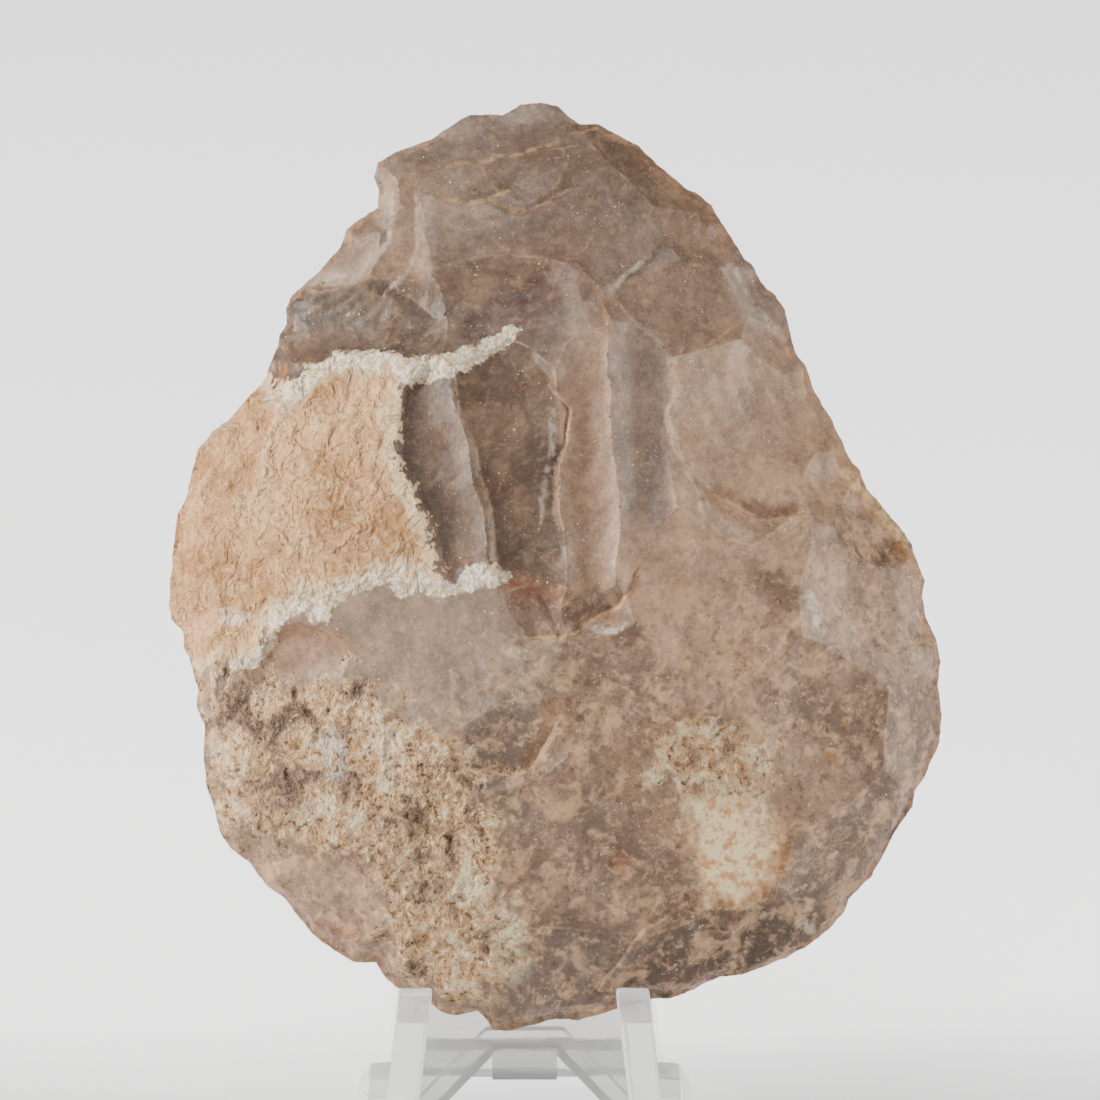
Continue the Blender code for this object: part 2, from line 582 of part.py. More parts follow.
def make_arch_band(name, support_foot, material):
    """The deeper band that runs round the arch and stiffens the panel."""
    middle, bottom, half, spread = arch_sizes()
    aside = ARCH_BAND * math.hypot(1.0, spread)
    outer_top = ARCH_TOP / 2 + aside - spread * ARCH_BAND
    profile = [
        (middle - half - aside, bottom),
        (middle - outer_top, ARCH_HEIGHT + ARCH_BAND),
        (middle + outer_top, ARCH_HEIGHT + ARCH_BAND),
        (middle + half + aside, bottom),
        (middle + half, bottom),
        (middle + ARCH_TOP / 2, ARCH_HEIGHT),
        (middle - ARCH_TOP / 2, ARCH_HEIGHT),
        (middle - half, bottom),
    ]
    return leaning_prism(name, profile, ARCH_DEPTH, support_foot, material)


def make_crossbar(name, material):
    """The low bar that ties the back feet."""
    left, right = rib_middle(POST_LEFT, 0.0), rib_middle(POST_RIGHT, 0.0)
    bottom, top = FOOT_RELIEF / 2, FOOT_RELIEF + CROSSBAR_HEIGHT
    profile = [(left, bottom), (right, bottom), (right, top), (left, top)]
    depth = FOOT_BACK - MOULD_ROUND * 2 - CROSSBAR_DEPTH / 2

    def place_point(end, point):
        return (point[0], depth + end * CROSSBAR_DEPTH, point[1])
    return prism(name, profile, place_point, material)


def make_easel(axe, material):
    """The easel, moulded in one: two ribs, the panel and its band, the cross bar and the side feet."""
    lip_back, support_foot = cradle_sizes(axe)
    easel = make_rib("display_easel", POST_LEFT, lip_back, support_foot, material)
    additions = [
        make_panel("panel_form", support_foot, material),
        make_arch_band("arch_band_form", support_foot, material),
        make_rib("right_rib_form", POST_RIGHT, lip_back, support_foot, material),
        make_crossbar("crossbar_form", material),
        make_flange("left_foot_form", POST_LEFT, lip_back, material),
        make_flange("right_foot_form", POST_RIGHT, lip_back, material),
    ]
    for addition in additions:
        addition.hide_render = True
        addition.display_type = "WIRE"
        joint = easel.modifiers.new(addition.name, "BOOLEAN")
        joint.operation = "UNION"
        joint.solver = "EXACT"
        joint.object = addition
    easel.data.set_sharp_from_angle(angle=math.radians(SHARP_PLASTIC))
    return easel, additions


def centre_on_floor(axe, easel, forms):
    """Move everything so that the origin is the middle of the whole footprint box, on the floor."""
    places = np.array([vertex.co for thing in (axe, easel, *forms) for vertex in thing.data.vertices])
    middle = (places.min(axis=0) + places.max(axis=0)) / 2
    for thing in (axe, easel, *forms):
        thing.location = (-middle[0], -middle[1], 0.0)


clear_scene()
flint = plain_material("brown_flint", (0.23, 0.165, 0.12), 0.5)
clear_plastic = plain_material("clear_plastic", (0.9, 0.92, 0.93), 0.06, transmission=1.0)
hand_axe = make_axe(flint)
display_easel, easel_forms = make_easel(hand_axe, clear_plastic)
centre_on_floor(hand_axe, display_easel, easel_forms)
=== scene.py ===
import math

import bpy
import numpy as np
from mathutils import Matrix, Vector
from mathutils.geometry import delaunay_2d_cdt


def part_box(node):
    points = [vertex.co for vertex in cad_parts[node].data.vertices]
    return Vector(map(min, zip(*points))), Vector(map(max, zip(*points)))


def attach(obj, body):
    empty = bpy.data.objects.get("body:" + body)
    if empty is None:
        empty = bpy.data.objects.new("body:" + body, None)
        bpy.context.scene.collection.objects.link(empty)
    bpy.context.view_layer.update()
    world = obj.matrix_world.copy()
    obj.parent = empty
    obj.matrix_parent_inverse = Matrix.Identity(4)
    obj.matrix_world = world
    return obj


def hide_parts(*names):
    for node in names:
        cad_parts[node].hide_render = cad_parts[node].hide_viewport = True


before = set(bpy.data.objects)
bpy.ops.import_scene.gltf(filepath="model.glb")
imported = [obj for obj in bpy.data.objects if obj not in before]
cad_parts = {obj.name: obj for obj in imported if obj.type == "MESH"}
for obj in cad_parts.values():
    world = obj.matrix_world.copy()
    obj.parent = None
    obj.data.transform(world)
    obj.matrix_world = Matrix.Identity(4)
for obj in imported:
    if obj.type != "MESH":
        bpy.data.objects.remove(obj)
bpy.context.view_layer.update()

# The flint
# One piece of brown chert, knapped on both faces by striking flakes inward from the rim, with a
# patch of its chalky rind and a crust of small crystals left on it. Each face is the lowest of the
# scars' hollows, so they meet in sharp ridges. The rim's corners and the scars are the solid's own.

# Sizes, in percent of the length unless they say otherwise
axe_low, axe_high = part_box("hand_axe")
RIM_WIDTH = 83.2
PERCENT = (axe_high[0] - axe_low[0]) / RIM_WIDTH
MILLIMETRE = 0.001 / PERCENT
LEAN = math.radians(17.0)
FRONT_BULGE = 0.0190
BACK_BULGE = 0.0175
FRONT_CELL = 0.42 * MILLIMETRE
BACK_CELL = 0.76 * MILLIMETRE
RIM_CELL = 0.55 * MILLIMETRE
RIM_SLOPE = 1.7
RIM_WAVE = 0.0013
BLANK_MIDDLE = (0.0, 47.3)
BLANK_WAVES = 6
BLANK_OVERREACH = 1.06
BLANK_POWER = 2.4
UNFLAKED_RISE = 0.32
HOLLOW_GAIN = (1.0, 1.5)
RIND_RISE = 0.10
RIND_STEP = 1.0
RIND_OVERLAP = 0.7
FOLD_WIDTH = 2.2
FOLD_HEIGHT = 0.35
RIND_SWELLS = (5.0, 0.14)
RIND_BUMPS = (1.3, 0.085)
CRUST_EDGE = 1.2
CRUST_LUMPS = (3.4, 0.45)
CRUST_GRAINS = (1.2, 0.26)
CRUST_RISE = 0.35
RIPPLE_HEIGHT = 0.050
RIPPLE_CALM = 1.2
STONE_GRAIN = (3.0, 0.022)
SLOPE_ROUGH = (2.6, 0.16)
LEAST_SLOPE = 0.35
POINT_KEEP = 0.55
RIDGE_SNAP = 0.45
RIDGE_ROUNDS = 4
DRIFT_BROAD = (8.0, 0.45)
DRIFT_FINE = (2.6, 0.22)
SHARP_ANGLE = math.radians(24.0)
BACK_RING_COUNT = 13
BACK_RING_REACH = 0.66
BACK_RING_SIZE = (17.0, 9.5)
BACK_RING_SINK = (0.40, 1.30)
BACK_MIDDLE_SCARS = [
    (-6.0, 55.0, 70, 17.0, 10.0, 0.40, 0.80),
    (8.0, 40.0, 20, 15.0, 10.0, 0.40, 0.80),
]

# The rim seen square on, clockwise from the tip: across from the middle, up from the lowest point
RIM = [
    (-3.8, 99.9), (-1.6, 100.1), (0.3, 99.9), (1.4, 98.7), (2.7, 97.8), (4.7, 97.8), (6.6, 96.7),
    (8.9, 95.6), (11.3, 93.2), (14.1, 90.8), (15.9, 89.9), (16.9, 88.9), (18.0, 87.0), (19.2, 85.2),
    (20.4, 83.2), (21.4, 82.3), (22.3, 80.5), (23.8, 79.1), (24.9, 77.5), (25.3, 75.5), (25.9, 73.1),
    (27.0, 71.6), (28.1, 68.6), (29.6, 66.1), (30.6, 64.1), (31.7, 61.5), (32.9, 60.1), (33.7, 58.1),
    (35.5, 55.9), (37.0, 54.1), (38.3, 52.4), (39.0, 50.2), (39.8, 48.2), (39.5, 46.6), (39.9, 44.3),
    (41.0, 41.9), (41.5, 39.6), (41.2, 37.0), (41.6, 33.9), (41.5, 30.9), (40.5, 28.8), (39.6, 26.9),
    (38.7, 25.6), (38.4, 23.9), (37.0, 22.0), (35.8, 19.8), (33.9, 16.3), (31.5, 14.0), (31.1, 12.7),
    (29.6, 11.0), (27.4, 9.1), (24.8, 7.7), (22.5, 6.7), (20.1, 5.9), (17.7, 5.7), (14.9, 4.3),
    (12.5, 3.4), (10.2, 3.3), (8.1, 2.8), (5.9, 2.0), (2.5, 1.0), (0.1, 1.2), (-2.5, 0.5), (-5.1, -0.1),
    (-6.6, 0.1), (-7.4, 1.1), (-8.3, 1.9), (-10.5, 1.5), (-12.0, 1.9), (-13.4, 2.9), (-15.4, 4.1),
    (-17.1, 4.6), (-18.3, 5.8), (-19.2, 7.1), (-21.6, 7.3), (-23.7, 8.6), (-25.7, 9.9), (-27.2, 11.8),
    (-29.1, 14.2), (-31.1, 15.6), (-32.6, 17.8), (-34.9, 19.4), (-35.8, 20.9), (-36.6, 23.9),
    (-37.4, 26.2), (-37.7, 29.0), (-37.7, 32.8), (-38.5, 34.6), (-38.4, 36.3), (-39.0, 38.9),
    (-39.9, 41.1), (-40.0, 42.7), (-41.3, 44.1), (-41.6, 45.7), (-41.4, 48.4), (-41.0, 52.2),
    (-40.6, 55.3), (-39.7, 57.0), (-39.2, 59.4), (-38.4, 62.3), (-37.1, 64.2), (-35.1, 65.6),
    (-33.2, 67.8), (-31.3, 69.9), (-29.9, 73.5), (-29.7, 74.9), (-28.9, 76.0), (-29.0, 77.5),
    (-28.5, 78.8), (-25.7, 81.4), (-23.1, 84.2), (-22.5, 86.2), (-19.1, 88.6), (-19.0, 90.5),
    (-19.5, 91.8), (-19.1, 93.4), (-17.3, 94.5), (-13.4, 96.0), (-11.1, 97.6), (-9.1, 98.8),
    (-5.6, 98.8),
]

# Tones that the scars take, from the darkest flint to the palest, and a pale bluish-white tone used only for
# painted highlights
TONES = {
    "bark": "#635248", "umber": "#705c4f", "slate": "#77665b", "smoke": "#816f65",
    "fawn": "#89705f", "clay": "#8c705a", "sand": "#a1836c", "honey": "#b98150",
    "ash": "#978473", "plum": "#624a44", "rust": "#82553e", "painted_highlight": "#b4a496",
    "soot": "#55463c", "loam": "#68574d", "buff": "#987b67", "dune": "#af8f76",
}

# Front scars: middle across, middle up, turn of the long axis in degrees, half length, half width,
# sink at the border, hollow below it, tone
FRONT_SCARS = [
    (-5.9, 97.6, 13, 13.4, 4.3, 0.43, 0.97, "slate"),
    (0.5, 87.6, 6, 11.3, 5.6, 0.43, 0.86, "umber"),
    (-7.5, 87.6, 8, 9.7, 5.6, 0.43, 0.86, "slate"),
    (-3.3, 90.1, 0, 4.9, 2.9, 1.08, 0.43, "umber"),
    (-22.0, 83.7, 52, 5.4, 2.9, 0.43, 0.75, "sand"),
    (-15.8, 85.2, 74, 5.9, 3.2, 0.43, 0.75, "clay"),
    (-20.8, 75.8, 4, 9.0, 4.1, 0.43, 0.86, "soot"),
    (-16.1, 75.7, -10, 4.1, 3.1, 1.08, 0.43, "soot"),
    (-4.6, 76.3, -5, 8.6, 7.1, 0.43, 0.97, "soot"),
    (7.2, 83.9, -25, 5.9, 4.5, 0.43, 0.75, "slate"),
    (10.8, 91.6, -44, 6.7, 3.5, 0.43, 0.86, "umber"),
    (13.4, 85.8, -30, 4.8, 2.8, 0.43, 0.65, "fawn"),
    (13.4, 77.2, -12, 7.3, 4.5, 0.54, 0.86, "fawn"),
    (22.7, 78.9, -50, 4.1, 3.0, 0.54, 0.86, "smoke"),
    (23.5, 72.9, -40, 4.5, 2.8, 0.43, 0.65, "fawn"),
    (9.1, 64.5, -88, 12.9, 3.1, 0.43, 0.86, "smoke"),
    (3.1, 59.7, -88, 15.1, 2.9, 0.43, 0.75, "buff"),
    (-4.3, 63.4, -84, 18.3, 5.1, 0.43, 1.08, "soot"),
    (-12.2, 59.1, -76, 13.4, 4.1, 0.43, 0.86, "loam"),
    (19.7, 63.4, -85, 9.5, 8.3, 0.65, 1.18, "dune"),
    (19.5, 60.4, -88, 9.2, 6.9, 0.43, 0.86, "dune"),
    (27.6, 66.7, -78, 4.8, 4.0, 0.65, 0.86, "sand"),
    (29.4, 58.1, -60, 3.9, 3.0, 0.43, 0.65, "sand"),
    (33.7, 54.1, -62, 4.9, 2.9, 0.65, 0.86, "umber"),
    (19.4, 43.5, -112, 8.8, 5.8, 0.43, 0.65, "dune"),
    (11.8, 47.5, -82, 5.8, 3.9, 0.43, 0.54, "dune"),
    (33.3, 43.9, -25, 8.2, 5.8, 0.43, 0.86, "sand"),
    (28.0, 32.6, -100, 8.4, 6.7, 0.43, 0.97, "sand"),
    (39.0, 31.4, -88, 5.9, 3.2, 0.54, 0.75, "fawn"),
    (32.3, 18.1, 52, 9.2, 5.2, 0.43, 0.97, "slate"),
    (16.9, 28.5, -10, 6.7, 4.3, 0.32, 0.65, "clay"),
    (18.6, 19.4, -80, 6.0, 4.5, 0.32, 0.54, "honey"),
    (11.5, 15.3, -20, 4.1, 3.4, 0.43, 0.65, "clay"),
    (19.4, 9.1, 16, 10.5, 3.7, 0.43, 0.86, "soot"),
    (1.6, 6.7, 0, 7.5, 4.1, 0.43, 0.75, "slate"),
    (2.2, 18.3, -10, 9.1, 7.5, 0.43, 0.75, "fawn"),
    (-12.4, 39.8, -9, 11.8, 7.1, 0.43, 0.97, "ash"),
    (-26.9, 39.2, 10, 5.6, 2.9, 0.54, 0.75, "clay"),
    (-35.8, 30.1, -86, 5.8, 2.8, 0.43, 0.75, "fawn"),
    (-24.2, 27.4, -35, 12.9, 7.7, 0.32, 0.43, "clay"),
    (-12.4, 17.2, -55, 11.8, 7.5, 0.32, 0.43, "clay"),
    (-25.3, 14.7, -30, 8.1, 3.7, 0.43, 0.75, "sand"),
    (5.4, 35.5, -15, 6.5, 5.4, 0.43, 0.75, "fawn"),
    (-4.8, 30.1, 28, 5.1, 3.9, 0.65, 0.97, "slate"),
    (-2.2, 43.9, -80, 3.9, 2.8, 0.43, 0.65, "fawn"),
    (3.8, 43.5, 0, 3.7, 2.6, 0.43, 0.65, "bark"),
    (10.2, 24.2, -20, 5.4, 4.5, 0.32, 0.54, "clay"),
    (24.2, 25.8, -20, 4.3, 3.2, 0.43, 0.54, "sand"),
]

# How sharply one scar's tone gives way to the next
TONE_BLEND = 4.0

# Scars whose ripples show best, by their place in the list
RIPPLED = (4, 5, 6, 8, 12, 19, 20, 21)

# Patches of the front face that aren't plain flint
RIND = [
    (-44.6, 41.9), (-44.6, 69.9), (-31.5, 70.8), (-29.2, 68.8), (-27.6, 69.6), (-26.1, 71.2),
    (-22.6, 72.5), (-17.2, 71.8), (-14.0, 70.4), (-16.2, 67.7), (-16.5, 61.3), (-14.7, 57.0),
    (-12.8, 52.7), (-11.7, 48.4), (-10.2, 47.1), (-15.6, 47.3), (-18.3, 47.5), (-22.0, 46.0),
    (-27.4, 45.2), (-30.9, 42.8), (-31.5, 40.3), (-33.9, 38.9), (-39.2, 38.2), (-43.5, 39.8),
]
RIND_FOLD = [(-28.5, 67.7), (-30.1, 64.5), (-30.6, 61.3), (-31.5, 58.1), (-32.8, 55.4)]
CHALK_ABOVE = [
    (-31.5, 67.7), (-29.2, 68.7), (-27.6, 69.6), (-26.1, 70.9), (-24.7, 71.7), (-23.4, 72.6),
    (-21.5, 72.9), (-19.0, 72.4), (-17.2, 72.0), (-16.1, 71.1), (-14.0, 71.3), (-11.3, 71.8),
    (-8.1, 72.7), (-5.9, 73.7), (-4.2, 74.8), (-3.2, 74.3), (-3.8, 73.1), (-5.9, 71.8), (-8.6, 70.3),
    (-10.8, 69.2), (-13.4, 68.6), (-16.2, 68.2), (-17.4, 69.5), (-19.7, 69.1), (-21.6, 68.1),
    (-22.6, 70.0), (-23.9, 70.9), (-25.3, 69.8), (-25.7, 68.2), (-27.4, 66.6), (-29.1, 64.9),
    (-30.4, 64.3),
]
CHALK_BELOW = [
    (-10.0, 46.9), (-13.4, 48.0), (-14.5, 49.0), (-16.2, 50.3), (-17.3, 49.9), (-18.5, 48.7),
    (-21.0, 47.1), (-22.6, 47.3), (-23.7, 46.2), (-25.3, 45.8), (-27.4, 46.2), (-29.1, 44.9),
    (-30.6, 44.3), (-30.9, 41.9), (-32.8, 39.9), (-35.2, 39.0), (-34.7, 38.1), (-32.4, 38.7),
    (-30.4, 40.6), (-29.6, 42.4), (-28.3, 43.7), (-26.9, 44.5), (-25.7, 43.2), (-24.0, 43.2),
    (-23.3, 44.7), (-21.4, 46.0), (-19.4, 46.7), (-17.7, 47.4), (-17.3, 46.1), (-16.0, 45.6),
    (-14.9, 46.6), (-12.4, 45.9), (-9.6, 45.9), (-5.7, 46.9), (-4.7, 47.8), (-6.1, 49.0), (-9.1, 49.0),
]
CRUST = [
    (-38.2, 38.2), (-35.5, 38.9), (-31.7, 37.6), (-27.4, 36.6), (-22.6, 38.5), (-21.2, 36.6),
    (-16.7, 34.2), (-12.4, 31.4), (-5.9, 26.9), (-7.0, 24.7), (-5.4, 21.5), (-5.9, 17.2), (-4.6, 14.0),
    (-2.5, 8.1), (-4.8, 4.3), (-11.3, 2.8), (-14.0, 4.3), (-18.8, 7.3), (-18.4, 15.6), (-22.0, 18.8),
    (-27.4, 19.4), (-35.5, 21.3), (-37.7, 28.5),
]
SMALL_CRUST = [
    (10.8, 31.4), (14.5, 32.5), (19.9, 31.7), (23.3, 30.6), (22.6, 26.9), (20.1, 24.9), (15.6, 25.4),
    (11.5, 26.2),
]
CREAM = [
    (14.3, 24.5), (17.7, 25.4), (21.7, 24.1), (23.0, 20.4), (22.0, 16.3), (19.4, 14.2), (15.8, 14.8),
    (14.5, 19.1),
]

# Lines on the front that show both as a step and as a mark; on several the mark is a painted highlight
UPPER_CRESCENT = [(-17.2, 88.7), (-17.7, 84.9), (-19.4, 82.3), (-22.0, 80.3), (-24.7, 80.1)]
INNER_CRESCENT = [(-14.6, 88.0), (-14.4, 84.4), (-15.6, 81.4), (-18.0, 79.2)]
FAN_ARC = [(-16.7, 78.8), (-12.0, 75.8), (-14.5, 73.1)]
BLADE_RIDGE = [
    (-11.0, 69.4), (-9.7, 65.6), (-8.1, 61.3),
    (-7.0, 57.0), (-6.5, 52.7), (-6.1, 48.9),
]
LARGE_ARC = [
    (12.6, 69.7), (11.5, 64.5), (13.2, 60.2),
    (16.1, 57.0), (21.5, 54.1), (25.3, 54.3),
]
SMALL_ARC = [(13.8, 58.9), (15.6, 52.7), (20.4, 51.3), (24.9, 54.0)]
RIGHT_CRESCENT = [(9.7, 82.3), (6.1, 78.7), (7.0, 76.9), (10.8, 73.1)]
TIP_ARC = [(-8.3, 89.6), (-4.8, 87.4), (-2.2, 87.8), (1.4, 89.8)]
TIP_LIP = [(-12.4, 89.4), (-9.5, 88.4), (-7.0, 89.2), (-5.0, 90.0)]
FOOT_NOTCH = [(-9.7, 26.9), (-2.7, 27.1), (0.0, 31.7)]
FOOT_LINE = [(4.8, 4.8), (9.1, 10.8), (13.4, 13.4)]

# Streaks of colour: tone, strength, half width, then the line's points. The pale bluish-white streaks are
# painted highlights on the flint, and the dark streak below a flake's lip is painted shadow
STREAKS = [
    # Painted highlight on the upper crescent's wall
    ("painted_highlight", 0.50, 0.8, UPPER_CRESCENT),
    ("umber", 0.70, 1.6, [(-24.7, 84.0), (-22.0, 83.0), (-20.2, 86.0)]),
    # Painted highlight on a ripple's wall
    ("painted_highlight", 0.22, 0.6, [(-13.0, 88.0), (-12.6, 84.0), (-13.4, 80.6)]),
    ("bark", 0.55, 1.4, [(-12.4, 82.3), (-7.0, 83.9), (0.5, 88.7)]),
    ("clay", 0.50, 0.9, [(-9.1, 77.4), (-4.8, 79.8), (-0.5, 82.3)]),
    ("plum", 0.75, 3.2, [(-5.6, 75.4), (-1.6, 78.5), (0.5, 81.0)]),
    # Painted highlight on a concave scar wall
    ("painted_highlight", 0.22, 0.9, [(1.2, 81.0), (3.0, 77.5), (3.4, 74.0), (2.2, 70.0)]),
    ("rust", 0.40, 0.9, [(15.6, 56.6), (19.4, 54.9), (24.7, 54.6)]),
    # Painted highlight on the small crescent near the top right
    ("painted_highlight", 0.43, 0.6, [(19.4, 81.7), (20.2, 79.0), (21.5, 77.2), (23.1, 76.3)]),
    ("umber", 0.50, 1.3, [(9.0, 84.5), (13.0, 83.0), (16.5, 82.2)]),
    ("honey", 0.16, 1.0, [(6.5, 96.2), (10.5, 92.8), (14.5, 89.4), (17.0, 87.8)]),
    ("bark", 0.45, 1.6, [(7.0, 94.6), (9.0, 91.4), (11.3, 88.7), (13.4, 87.6)]),
    ("honey", 0.50, 1.2, [(31.0, 59.8), (33.8, 56.6), (36.5, 53.0), (38.2, 50.2)]),
    ("bark", 0.65, 2.0, [(22.0, 48.6), (23.4, 47.0), (24.6, 46.0)]),
    ("bark", 0.60, 2.6, [(22.6, 36.6), (26.9, 34.4), (31.0, 31.0)]),
    ("rust", 0.65, 0.8, [(2.4, 43.4), (4.8, 43.2), (7.0, 44.6), (8.4, 47.2)]),
    # Painted shadow below the tan lip where a flake ended, under the white crystals
    ("bark", 0.70, 1.5, [(4.0, 42.2), (6.4, 41.6), (8.0, 41.9)]),
    ("rust", 0.32, 0.7, [(-30.9, 41.4), (-27.0, 42.4), (-23.1, 41.4), (-21.5, 40.0)]),
    ("bark", 0.60, 1.8, [(-4.8, 27.0), (-2.6, 27.2), (-1.2, 29.4)]),
    ("honey", 0.30, 1.6, [(-1.6, 29.0), (0.3, 31.7), (0.0, 33.4)]),
    ("rust", 0.55, 1.4, [(-27.4, 10.4), (-24.0, 9.8), (-22.0, 9.4)]),
    ("clay", 0.55, 1.0, [(4.8, 4.8), (5.9, 8.1), (9.1, 10.8), (13.4, 13.4)]),
    ("umber", 0.50, 2.4, [(5.0, 21.0), (8.0, 19.0), (10.5, 17.0)]),
    ("slate", 0.50, 2.2, [(-7.0, 24.0), (0.0, 23.2), (4.0, 23.0)]),
    ("rust", 0.45, 1.0, [(6.6, 18.6), (6.8, 17.4)]),
    ("rust", 0.35, 1.8, [(-5.4, 47.4), (-2.0, 45.8), (0.5, 45.3)]),
    ("umber", 0.45, 1.6, [(-5.0, 96.0), (-1.0, 95.8), (1.5, 96.6)]),
    # Painted highlight at the tip
    ("painted_highlight", 0.19, 0.9, [(-4.0, 99.0), (0.0, 99.0)]),
]

# Thin marks, small spots and painted highlights on top of everything: colour, strength, half width, the
# line's points
ACCENTS = [
    ("#f0d9ac", 0.40, 0.37, [(-28.5, 67.7), (-30.1, 64.5), (-31.5, 58.1), (-32.8, 55.4)]),
    ("#b57a4a", 0.58, 1.11, [(-31.6, 65.4), (-31.4, 63.2), (-32.6, 60.6)]),
    ("#5a3d28", 0.61, 0.37, [(-31.0, 65.2), (-31.6, 64.4)]),
    ("#5a3d28", 0.61, 0.37, [(-33.2, 61.2), (-32.9, 60.2)]),
    ("#d9883c", 0.50, 0.44, [(-29.0, 70.6), (-29.4, 67.2), (-30.4, 65.2)]),
    ("#efece6", 0.54, 0.67, [(-35.2, 44.1), (-33.2, 43.7)]),
    ("#2c2019", 0.54, 0.21, [(-10.8, 70.1), (-8.1, 71.2), (-4.3, 72.9)]),
    ("#3a2c22", 0.58, 0.26, [(-7.8, 69.8), (-7.5, 69.7)]),
    ("#efe6dc", 0.65, 0.67, [(-9.4, 47.9), (-6.4, 47.7)]),
    ("#b98a68", 0.43, 0.37, [(-9.6, 49.2), (-6.2, 49.3)]),
    ("#7a3b22", 0.54, 0.30, [(-5.9, 48.4), (-3.8, 46.6), (-1.6, 45.9), (1.0, 45.4)]),
    ("#c09878", 0.36, 0.18, BLADE_RIDGE),
    ("#b98558", 0.54, 0.28, [(-0.1, 68.1), (1.3, 65.6), (1.1, 62.4), (0.6, 59.1), (0.5, 57.0), (0.8, 52.7)]),
    # Painted highlight on the flute's wall beside the orange ridge
    ("#cfc0b4", 0.36, 0.30, [(-0.7, 65.4), (-0.6, 61.4), (-1.0, 57.0), (-1.4, 53.6)]),
    ("#c99767", 0.43, 0.18, [(5.2, 78.5), (5.2, 65.6), (5.7, 61.3), (7.2, 53.8), (8.1, 49.5), (8.4, 47.3)]),
    ("#d9ab78", 0.54, 0.24, [(8.4, 47.3), (6.8, 44.3), (3.5, 43.0), (0.0, 40.9), (-2.2, 40.9)]),
    ("#efe6dc", 0.47, 0.33, [(4.0, 42.0), (6.2, 41.4), (7.4, 42.4)]),
    ("#e6cba6", 0.43, 0.21, LARGE_ARC),
    # Painted highlight on the large arc's inner margin
    ("#d8c8ba", 0.32, 0.37, [(12.7, 67.0), (12.3, 64.0), (13.9, 60.6), (16.4, 57.9)]),
    ("#e6cba6", 0.43, 0.21, SMALL_ARC),
    # Painted highlight on the small arc's inner margin
    ("#d8c8ba", 0.32, 0.44, [(14.6, 57.4), (16.3, 53.6), (20.2, 52.3)]),
    ("#d9ab78", 0.43, 0.22, [
        (4.8, 97.3), (1.6, 96.2), (-0.5, 94.9), (-3.8, 93.9), (-5.9, 93.8), (-12.4, 92.7),
    ]),
    ("#d9ab78", 0.50, 0.22, TIP_LIP),
    ("#cfa57c", 0.36, 0.18, TIP_ARC),
    # Painted bluish highlights on the walls of the two crescents
    ("#c9bdb2", 0.40, 0.33, UPPER_CRESCENT),
    ("#c9bdb2", 0.29, 0.26, INNER_CRESCENT),
    ("#c9a27c", 0.32, 0.18, FAN_ARC),
    # Painted highlights on the right crescent's wall and on the small crescent near the top right
    ("#cbbdb0", 0.32, 0.22, RIGHT_CRESCENT),
    ("#cbbdb0", 0.29, 0.22, [(19.4, 81.7), (21.0, 78.6), (23.1, 76.3)]),
    ("#d9ab78", 0.40, 0.19, [(15.6, 72.6), (18.0, 74.2), (20.4, 76.3)]),
    ("#e9cf9c", 0.54, 0.55, [(31.2, 59.7), (34.4, 56.5), (37.6, 52.2)]),
    ("#efe6dc", 0.61, 0.55, [(26.7, 46.0), (27.6, 44.6), (28.3, 42.4)]),
    ("#e6cba6", 0.47, 0.18, [(26.0, 44.1), (22.8, 39.6), (18.8, 34.9)]),
    ("#efe0c4", 0.47, 0.59, [(26.4, 11.6), (27.4, 10.9)]),
    ("#4a382d", 0.43, 0.33, [(25.0, 21.0), (24.2, 15.6), (24.6, 12.4)]),
    ("#2c2019", 0.65, 0.22, [(9.9, 37.6), (10.1, 37.5)]),
    ("#e6cba6", 0.47, 0.48, [(-5.4, 39.8), (-3.0, 39.2)]),
    ("#e6cba6", 0.43, 0.41, [(-7.0, 37.2), (-6.7, 36.6)]),
    ("#bd9168", 0.43, 0.30, [(-30.9, 41.4), (-27.0, 42.4), (-23.1, 41.4), (-21.2, 39.8)]),
    ("#efece6", 0.50, 1.04, [(-23.9, 30.6), (-23.1, 27.4)]),
    ("#6b5348", 0.36, 1.78, [(-32.0, 26.5), (-26.5, 22.5)]),
    ("#7b6a5e", 0.36, 1.63, [(-15.6, 17.5), (-10.2, 13.8)]),
    ("#efdcb6", 0.43, 1.48, [(-8.0, 14.4), (-5.9, 11.4), (-4.5, 6.5)]),
    ("#d9ab78", 0.40, 0.22, FOOT_NOTCH),
    ("#cfa57c", 0.40, 0.21, FOOT_LINE),
    ("#cfa57c", 0.40, 0.21, [(7.0, 41.4), (11.8, 38.9), (10.8, 35.5), (14.5, 31.7)]),
    ("#b5633a", 0.47, 0.44, [(6.4, 18.4), (6.9, 17.2)]),
    ("#d98a40", 0.40, 0.33, [(31.0, 33.2), (31.3, 32.6)]),
    ("#d98a40", 0.36, 0.37, [(29.2, 29.6), (29.6, 28.9)]),
]

